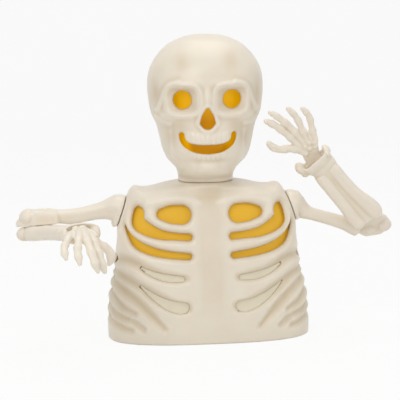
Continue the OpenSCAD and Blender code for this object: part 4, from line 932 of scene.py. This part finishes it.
def paint_hollow_shade(obj, spread, gain):
    """Fills the painted shade attribute: how far each point lies under the mean of its
    neighbours, spread over rings, which paints shade into the hollows."""
    mesh = obj.data
    n = len(mesh.vertices)
    p, normal = np.empty(n * 3), np.empty(n * 3)
    mesh.vertices.foreach_get("co", p)
    mesh.vertices.foreach_get("normal", normal)
    p, normal = p.reshape(-1, 3) * 1000, normal.reshape(-1, 3)
    edges = np.empty(len(mesh.edges) * 2, int)
    mesh.edges.foreach_get("vertices", edges)
    i, j = edges.reshape(-1, 2).T
    count = np.maximum(np.bincount(np.concatenate([i, j]), minlength=n), 1)

    def around(v):
        return np.bincount(np.concatenate([i, j]), np.concatenate([v[j], v[i]]), n) / count

    q = p.copy()
    for _ in range(spread):
        q = np.stack([0.5 * q[:, k] + 0.5 * around(q[:, k]) for k in range(3)], 1)
    low = np.sum((q - p) * normal, 1)
    for _ in range(4):
        low = 0.5 * low + 0.5 * around(low)
    layer = mesh.attributes.get("painted_shade") or mesh.attributes.new("painted_shade", "FLOAT", "POINT")
    layer.data.foreach_set("value", np.clip(0.1 + gain * low, 0, 1).astype(np.float32))


def moulding(name, solids, voxel, rounds, body, node):
    """Fuses closed solids into one smooth skin. Each is (points, faces) with its frame (matrix, origin)."""
    points, faces = [], []
    for (p, f), (matrix, origin) in solids:
        start = sum(len(q) for q in points)
        points.append(p @ matrix.T + origin)
        faces += [[start + k for k in (face if np.linalg.det(matrix) > 0 else face[::-1])] for face in f]
    mesh = bpy.data.meshes.new(name)
    mesh.from_pydata((np.concatenate(points) / 1000).tolist(), [], faces)
    obj = bpy.data.objects.new(name, mesh)
    scene.collection.objects.link(obj)
    merge_doubles(obj)
    fuse = obj.modifiers.new("fuse", "REMESH")
    fuse.mode, fuse.voxel_size, fuse.adaptivity = "VOXEL", voxel / 1000, 0.0
    soft = obj.modifiers.new("soften", "SMOOTH")
    soft.factor, soft.iterations = 0.5, rounds
    apply_modifiers(obj)
    paint_hollow_shade(obj, 30, 0.9)
    finish_piece(obj, lighter_arm_ivory, body, [node])


COARSE = 1.0
print("voxels are", COARSE, "times the finest")

# %% Upper arms
ARM_PLANE = np.array([[1.0, 0, 0], [0, 0, -1.0], [0, 1.0, 0]])


def arm_rows(rows):
    """Rows [out, up, turn, half width, half depth] as rows of a bone at depth 0."""
    return [[x, y, 0, w, d, t] for x, y, t, w, d in rows]


LEFT_ARM = arm_rows([[0.6, 0.2, 18.9, 20.4, 20.4], [4.3, 1.4, 18, 20.6, 20.3], [7.8, 1.9, 8, 18.8, 18.8],
                     [11.3, 0.3, -8, 16.3, 16.3], [15.8, -5, -25, 12.4, 12.8], [22.3, -9.2, -24, 9.5, 10.8],
                     [31.3, -12.6, -19, 8.2, 9.8], [53.3, -19.4, -17, 8.4, 9.6],
                     [72.3, -25.7, -18, 9.4, 9.4], [84.3, -30, -19, 11.6, 9],
                     [94.3, -33.2, -18, 12.4, 8.6]])
RIGHT_ARM = arm_rows([[0.6, 0.2, 18.9, 20.4, 20.4], [4.3, 1.4, 16, 20.4, 20.3], [9.3, 3, 6, 18.4, 18.4],
                      [15.3, 2.6, -6, 14.8, 15.8], [23.3, 1.6, -12, 11.8, 12.8],
                      [35.3, -0.2, -13, 10.2, 11], [51.3, -3.3, -10, 9.7, 10.5],
                      [66.3, -5.3, -5, 9.9, 10.5], [80.3, -4.6, 2, 8.8, 11.5], [92.3, -3.6, 6, 9.8, 12.5],
                      [101.3, -2.8, 4, 9.6, 12.5]])
SEAT = [[0.6, 0.2, 0, 20.3, 20.3, 18.9], [1.3, 0.45, 0, 20.8, 20.8, 18.9], [5.2, 1.8, 0, 20.6, 20.6, 18.9],
        [6.6, 2.3, 0, 19.2, 19.2, 18.9]]
left_seat = (ARM_PLANE, SHOULDER)
right_seat = (np.diag([-1.0, 1, 1]) @ ARM_PLANE, SHOULDER * [-1, 1, 1])
LEFT_BLOCK = [[-14, -13.5, 8, -20, -3.5], [4, -24, 7.5, -20, -3.5], [21, -24, 5.5, -20, -4],
              [31, -14.5, 5.5, -18, -4], [26, -8.5, 6, -18, -4], [2, 0, 9, -20.3, 0]]
RIGHT_BLOCK = [[19, 3, 9, -15.5, 0], [-5, 10.5, 8.5, -19.5, 0], [-3, -5, 8.5, -20.3, 0],
               [-12, 3, 8.5, -18, 0], [3, 1, 9, -21, 0], [-22, 5, 7, -9.5, 0], [-21.5, -4, 7, -8.5, 0]]

moulding("left_upper_arm_bone", [
    (bone(SEAT, 40, 40, ends=(0.04, 0.06)), left_seat),
    (bone(LEFT_ARM, 40, 90, 2.3, (0.03, 0.5)), left_seat), (pebble(8.5, 15, 1, 5.5, 5, 10), left_seat),
    (block(LEFT_BLOCK, 4.4, 4.4), LEFT_ELBOW), (pebble(6, -19.5, -9, 13, 8, 8.8), LEFT_ELBOW),
    (pebble(25.5, -15.5, -9.2, 11.5, 9.8, 9), LEFT_ELBOW)],
    0.75 * COARSE, 4, "left_arm", "left_upper_arm")
moulding("right_upper_arm_bone", [
    (bone(SEAT, 40, 40, ends=(0.04, 0.06)), right_seat),
    (bone(RIGHT_ARM, 40, 90, 2.6, (0.03, 0.5)), right_seat),
    (bone([[5, 17.5, 0, 3.4, 9], [14, 15, 0, 2.6, 7], [30, 9, 0, 2.2, 5],
           [52, 4.6, 0, 2, 4]], 20, 40), right_seat),
    (bone([[6, 2, -14, 5, 4.6], [20, 1, -10.5, 2.6, 3], [48, -3, -8.6, 2, 2.4]], 20, 40), right_seat),
    (pebble(10, -15.5, 0, 4, 5, 9), right_seat),
    (block(RIGHT_BLOCK, 4.6, 0.8), RIGHT_ELBOW),
    (pebble(-12, 6, -11.5, 12, 13, 11), RIGHT_ELBOW)],
    0.75 * COARSE, 4, "right_arm", "right_upper_arm")

# %% Forearms
def cuff():
    """The flared cuff as one closed tube: out along its outer rows to the lip, over it and back down inside
    to a slot for the hand's pivot. Both sides of the lip run on along u into a knob and a lobe."""
    outer = [[-40, -1.6, 10, 5], [-28, -2, 15.4, 6.2], [-17, -2.6, 17, 7.6], [-9, -3.4, 17.8, 9.4],
             [-4.5, -1.6, 19.6, 10.2], [-1, 0.6, 23, 12], [2.5, 1, 24.4, 13.4], [5.8, 0.8, 24.8, 13.9]]
    inner = [[7.9, 0.4, 23.4, 13], [7.1, 0.3, 21, 11.4], [5.2, 0.2, 18, 9.1], [4.3, 0.2, 15.6, 7],
             [3.4, 0, 14.2, 6.1], [-5, 0, 14, 5.9], [-6.6, 0, 12.6, 4.8], [-7, 0, 6, 2]]
    r = spline(np.array(outer + inner), np.linspace(0, 15, 130))
    a = np.linspace(0, 2 * np.pi, 96, endpoint=False)
    p = np.stack([r[:, 0, None] + 0 * a, r[:, 1, None] + r[:, 2, None] * spow(np.cos(a), 0.86),
                  r[:, 3, None] * spow(np.sin(a), 0.86)], -1)
    p[..., 2] *= 1 - 0.13 * (p[..., 2] < 0)
    lip = smooth(r[:, 0, None], -9, 5)
    p[..., 0] += lip * (8 * smooth(p[..., 1], 12.5, 18.5) + 4.5 * smooth(-p[..., 1], 17, 21))
    k, j = np.meshgrid(np.arange(129), np.arange(96), indexing="ij")
    a0, b0 = (k * 96 + j).ravel(), (k * 96 + (j + 1) % 96).ravel()
    faces = np.stack([a0, b0, b0 + 96, a0 + 96], 1).tolist()
    return p.reshape(-1, 3), faces + [list(range(96))[::-1], list(range(129 * 96, 130 * 96))]


def forearm_solids(frame, wrist):
    """Two bones side by side with a web between them, their elbow heads, and the cuff
    with its knob and lobe."""
    m = FOREARM_MID
    outer = [[-8, -13.5, m, 6.5, 7.4], [-3, -14.4, m, 9, 8.8], [6, -14.4, m, 10.8, 9.5],
             [18, -13.4, m, 10.4, 9.4], [35, -11, m, 8.8, 8.8], [60, -10.2, m, 8.6, 8.5],
             [80, -10.8, m, 8.8, 8.8], [90, -10.8, m, 8.4, 8.4]]
    inner = [[-4, 9.6, m, 6.6, 7.4], [1, 10.8, m, 8.4, 8.6], [9, 11.4, m, 9, 9.2], [20, 11, m, 8.8, 9.2],
             [35, 9.8, m, 8.4, 8.8], [60, 8.6, m, 8.4, 8.5], [80, 7.4, m, 8.8, 8.8], [90, 6.6, m, 8.4, 8.6]]
    web = [[-5, -1.5, m, 8, 5.4], [6, -1.5, m, 10, 6.4], [30, -1, m, 9.5, 6.2], [60, -1.4, m, 9, 6.1],
           [80, -2.4, m, 9, 6.3], [92, -3, m, 10, 7.4]]
    return [(bone(outer, 36, 90, 2.3, (0.9, 0.3)), frame), (bone(inner, 36, 90, 2.5, (0.7, 0.3)), frame),
            (bone(web, 28, 60, 3.6, (0.6, 0.4)), frame), (cuff(), wrist),
            (pebble(10.2, 19.6, 1.5, 8.8, 6.6, 10), wrist), (pebble(7.5, -21.2, 0.5, 7.2, 4.6, 8), wrist),
            (pebble(1.5, 19.6, 0, 6.4, 5.3, 5), wrist),
            (pebble(5, -19.5, 7, 5.5, 3.4, 5), wrist)]


moulding("left_forearm_bones", forearm_solids(LEFT_FOREARM, LEFT_WRIST), 0.8 * COARSE, 4, "left_lower_arm",
         "left_forearm")
right_cuff = below(RIGHT_FOREARM, np.eye(3), (FOREARM_L, 0, FOREARM_MID))
elbow_head = [(pebble(-2, -20.5, FOREARM_MID, 10, 10.5, 9.2), RIGHT_FOREARM),
              (bone([[-5, -1.5, FOREARM_MID, 11, 8.6], [4, -1.5, FOREARM_MID, 14, 9.3],
                     [22, -1.5, FOREARM_MID, 13, 9],
                     [34, -1.5, FOREARM_MID, 9, 6.5]], 36, 40, 3.2, (0.5, 0.8)), RIGHT_FOREARM)]
moulding("right_forearm_bones", forearm_solids(RIGHT_FOREARM, right_cuff) + elbow_head, 0.8 * COARSE, 4,
         "right_lower_arm", "right_forearm")

# %% Hands
FINGERS = [
    [1.05, 4.7, [18, -11], [26.7, -18.8], [35.0, -22.5], [43.0, -26.4], [51.3, -30.7], [58.3, -33.4],
     [66.5, -33.9], [74.4, -32.8]],
    [0.95, 4.9, [20, -6], [29.1, -9.2], [38.5, -11.7], [47.4, -14.6], [55.4, -17.3], [63.6, -19.6],
     [71.5, -20.7], [80.3, -20.5], [87.2, -19.8]],
    [0.95, 5.2, [22, -4], [36.3, -5.7], [46.2, -6.2], [55.7, -6.4], [64.5, -6.1], [73.2, -5.2],
     [83.3, -3.7], [92.0, -1.6], [98.8, 0.9]],
    [1.1, 5.4, [22, 0], [32, 1.4], [41.4, 1.9], [50.9, 2], [60.1, 3.0], [69.0, 4.4], [79.5, 6.6],
     [87.3, 9.3], [94.1, 12.3]],
    [1.9, 5.7, [19, 0.5], [28.3, 4], [35.4, 7.6], [41, 12.6], [45.5, 18.2], [50, 23], [56.8, 26.4],
     [63.3, 27.5], [69.8, 26.5]]]
CARPALS = [[18.6, -4.5, 4.4, 4.2], [21.6, 1.4, 4, 4], [23.4, -6.3, 4, 4], [19.6, -12, 4.2, 4.2],
           [26, -16.3, 4.2, 4], [29.8, -11.2, 4.2, 4], [29.5, -3.8, 4, 4], [28.4, 3, 4, 3.8]]
BACK_STONES = [[10, -5], [10.5, 3.5], [15.5, -9], [16, -0.5]]
WEBS = [[[26, -14], [35, -17.5], [43, -20]], [[28, -8], [40, -10], [50, -11.3]],
        [[28, -2], [40, -2], [50.5, -2.6]], [[26, 2], [36, 5], [44, 7.2]]]
HAND_SET = {"left": (0.1, 0.0, 1.0), "right": (1.08, 11.0, 1.19)}


def curled(solid, side, share=1.0):
    """A flat solid with the curl of its hand: x runs along an arc in the plane of x and
    z, y leans and spreads."""
    (p, faces), (bend, lean, spread) = solid, HAND_SET[side]
    k = math.radians(bend * share)
    x, z = p[:, 0], p[:, 2]
    leaned = np.clip(x - 24, 0, None) * math.tan(math.radians(lean))
    y = p[:, 1] * (1 + (spread - 1) * smooth(x, 14, 28)) - leaned
    return np.stack([(1 / k - z) * np.sin(k * x), y, 1 / k - (1 / k - z) * np.cos(k * x)], -1), faces


def finger(points, thick, joints, tip):
    """One ray of the hand: a bone that swells at its three joints and thins between
    them and towards the tip."""
    xy = spline(np.array(points, float), np.linspace(0, len(points) - 1, 40))
    s = np.concatenate([[0], np.cumsum(np.linalg.norm(np.diff(xy, axis=0), axis=1))])
    t = s / s[-1]
    r = thick * (0.84 - 0.08 * t ** 2 - tip * smooth(t, 0.84, 1.0))
    for k, joint in enumerate(joints):
        r = r + (1.15, 1.0, 0.7)[k] * np.exp(-((t - joint) * s[-1] / 4) ** 2)
    return bone(np.column_stack([xy, 0 * r, r, 0.88 * r]), 24, 110, 2.1, (0.7, 1.2))


def hand_solids(frame, side):
    """Pivot, thin root, flat carpal stones on a palm, webs between the metacarpals, and five fingers."""
    solids = [(bone([[0, -10.8, 0, 3.8, 3.8], [0, 0, 0, 3.8, 3.8],
                     [0, 10.8, 0, 3.8, 3.8]], 28, 40, ends=(0.3, 0.3)), 1),
              (bone([[-1, 0, -1, 10.5, 2.6], [7, -1, -1.9, 10.6, 2.2], [13, -1.8, -1.9, 10.6, 2.4],
                     [19, -4.5, -0.8, 11.4, 2.8], [27, -7, 0, 12.5, 3], [36, -8, 0, 12.5, 2.6],
                     [41, -8.5, 0, 10, 2]],
                    40, 60, 2.6, (0.3, 0.5)), 1)]
    for x, y, a, b in CARPALS:
        z, narrow, high = (-1.2, 0.84, 3.6) if x < 20 else (0.6, 1.0, 4.4)
        solids.append((pebble(x, y, z, a * narrow, b, high), 1))
    solids += [(pebble(x, y, -3.6, 5, 5, 3.4), 1) for x, y in BACK_STONES]
    for web in WEBS:
        rows = [[x, y, 0, w, d] for (x, y), w, d in zip(web, (5, 4.5, 2), (3.4, 2.8, 1.7))]
        solids.append((bone(rows, 24, 40), 1))
    for share, thick, *points in FINGERS:
        joints = (0.3, 0.52, 0.78) if share > 1.5 else (0.4, 0.64, 0.83)
        solids.append((finger(points, thick, joints, 0.14 if side == "left" else 0.34), share))
    return [(curled(solid, side, share), frame) for solid, share in solids]


moulding("left_hand_bones", hand_solids(LEFT_WRIST, "left"), 0.55 * COARSE, 3, "left_palm", "left_hand")
moulding("right_hand_bones", hand_solids(RIGHT_WRIST, "right"), 0.55 * COARSE, 3, "right_palm",
         "right_hand")

# %% [markdown]
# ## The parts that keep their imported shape
# The screws, pins, boards, cells, bushings, battery case and switch are plain turned, stamped or
# moulded parts, so they keep their solid shape. Each gets the material it is made of, with its
# grain or brushing worked out from the object's own millimetres.

# %% Metal, nylon, board and wire
def plain_part(name, colour, second, scale, rough, metal=0.0, grain=0.10, stretch=(1, 1, 1), glow=0.0,
               clear=0.0):
    """Two close tones mixed by noise of the given scale per metre, drawn out along an axis by stretch for
    brushed or drawn metal; the same noise varies the roughness and gives a low bump of 0.05 mm."""
    material, tree, out = new_material(name)
    place = add_node(tree, "Mapping", {"Scale": stretch},
                     Vector=add_node(tree, "TexCoord").outputs["Object"])
    grit = noise(tree, place.outputs[0], scale, 3.0, 0.55)
    tone = between(tree, colour, second, grit)
    rough_map = add_node(tree, "MapRange", {3: rough - 0.06, 4: rough + 0.08}, Value=grit)
    relief = add_node(tree, "Bump", {"Strength": grain, "Distance": 0.00005}, Height=grit)
    plastic(tree, out, {"Metallic": metal, "Emission Strength": glow, "Transmission Weight": clear},
            Base_Color=tone, Roughness=rough_map.outputs[0], Normal=relief.outputs[0], Emission_Color=tone)
    return material


zinc_steel = plain_part("zinc_plated_cold_headed_steel", "#b4b8ba", "#9da1a4", 900.0, 0.32, 1.0, 0.2)
pin_steel = plain_part("drawn_spring_steel", "#aeb1b3", "#96999c", 500.0, 0.28, 1.0, 0.2, (1, 1, 8))
acetal = plain_part("natural_moulded_acetal", "#e6dcc6", "#d9ccb0", 600.0, 0.42)
switch_black = plain_part("black_moulded_abs", "#1d1d1e", "#28282a", 1100.0, 0.48)
wire_red = plain_part("red_extruded_pvc", "#8e1c18", "#a12620", 300.0, 0.4, 0.0, 0.1, (1, 1, 0.2))
cell_wrap = plain_part("cell_shrink_wrap_pvc", "#3d4247", "#4b5158", 250.0, 0.3)
lamp_epoxy = plain_part("amber_cast_epoxy", "#f3cf6d", "#ffdf8a", 400.0, 0.12, 0.0, 0.02, (1, 1, 1), 0.6,
                        0.35)
print("materials:", zinc_steel.name, acetal.name, switch_black.name)


# %% Circuit board
def solder_mask(name):
    """Green lacquer over copper: a lighter green where tracks run, as bands of a wave 2.5 mm apart that
    noise bends, kept only where a second noise is high."""
    material, tree, out = new_material(name)
    place = add_node(tree, "TexCoord").outputs["Object"]
    tracks = add_node(tree, "TexWave", {"Scale": 64.0, "Distortion": 3.0, "Detail": 0.0}, Vector=place)
    both = add_node(tree, "Math", {"operation": "MULTIPLY"}, _0=tracks.outputs["Fac"],
                    _1=noise(tree, place, 90.0, 0.0))
    sharp = add_node(tree, "MapRange", {1: 0.38, 2: 0.44}, Value=both.outputs[0]).outputs[0]
    relief = add_node(tree, "Bump", {"Strength": 0.4, "Distance": 0.00004}, Height=sharp)
    plastic(tree, out, {"Roughness": 0.3}, Base_Color=between(tree, "#1c5834", "#2f7a48", sharp),
            Normal=relief.outputs[0])
    return material


board_green = solder_mask("green_lacquered_glass_epoxy")
print("board:", board_green.name)

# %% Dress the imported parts
PARTS = [
    (ivory, "ivory_shell", ["base_plate", "battery_box", "battery_door"]),
    (zinc_steel, "screw_steel", ["base_screws", "body_screws", "board_screws", "battery_contacts",
                                 "door_screw", "neck_screws", "skull_screws", "left_shoulder_washer",
                                 "left_shoulder_screw", "left_elbow_washer", "left_elbow_screw",
                                 "right_shoulder_washer", "right_shoulder_screw", "right_elbow_washer",
                                 "right_elbow_screw"]),
    (pin_steel, "screw_steel", ["door_hinge_pin", "left_wrist_pin", "right_wrist_pin"]),
    (acetal, "bushing", ["neck_bearing", "neck_spigot", "neck_retainer", "left_shoulder_bush",
                         "right_shoulder_bush"]),
    (board_green, "circuit_board", ["chest_lamp_board", "head_lamp_board"]),
    (lamp_epoxy, "lamp", ["chest_lamps", "head_lamps"]), (cell_wrap, "cell_case", ["battery_cells"]),
    (switch_black, "switch_plastic", ["switch_housing", "switch_slider"]),
    (wire_red, "wire", ["lamp_lead"])]
for material, slot, names in PARTS:
    for name in names:
        part = frame["nodes"][name]
        part.data.materials.clear()
        part.data.materials.append(material)
print("dressed", sum(len(names) for *_, names in PARTS), "packed parts")


# %% Finish
import json
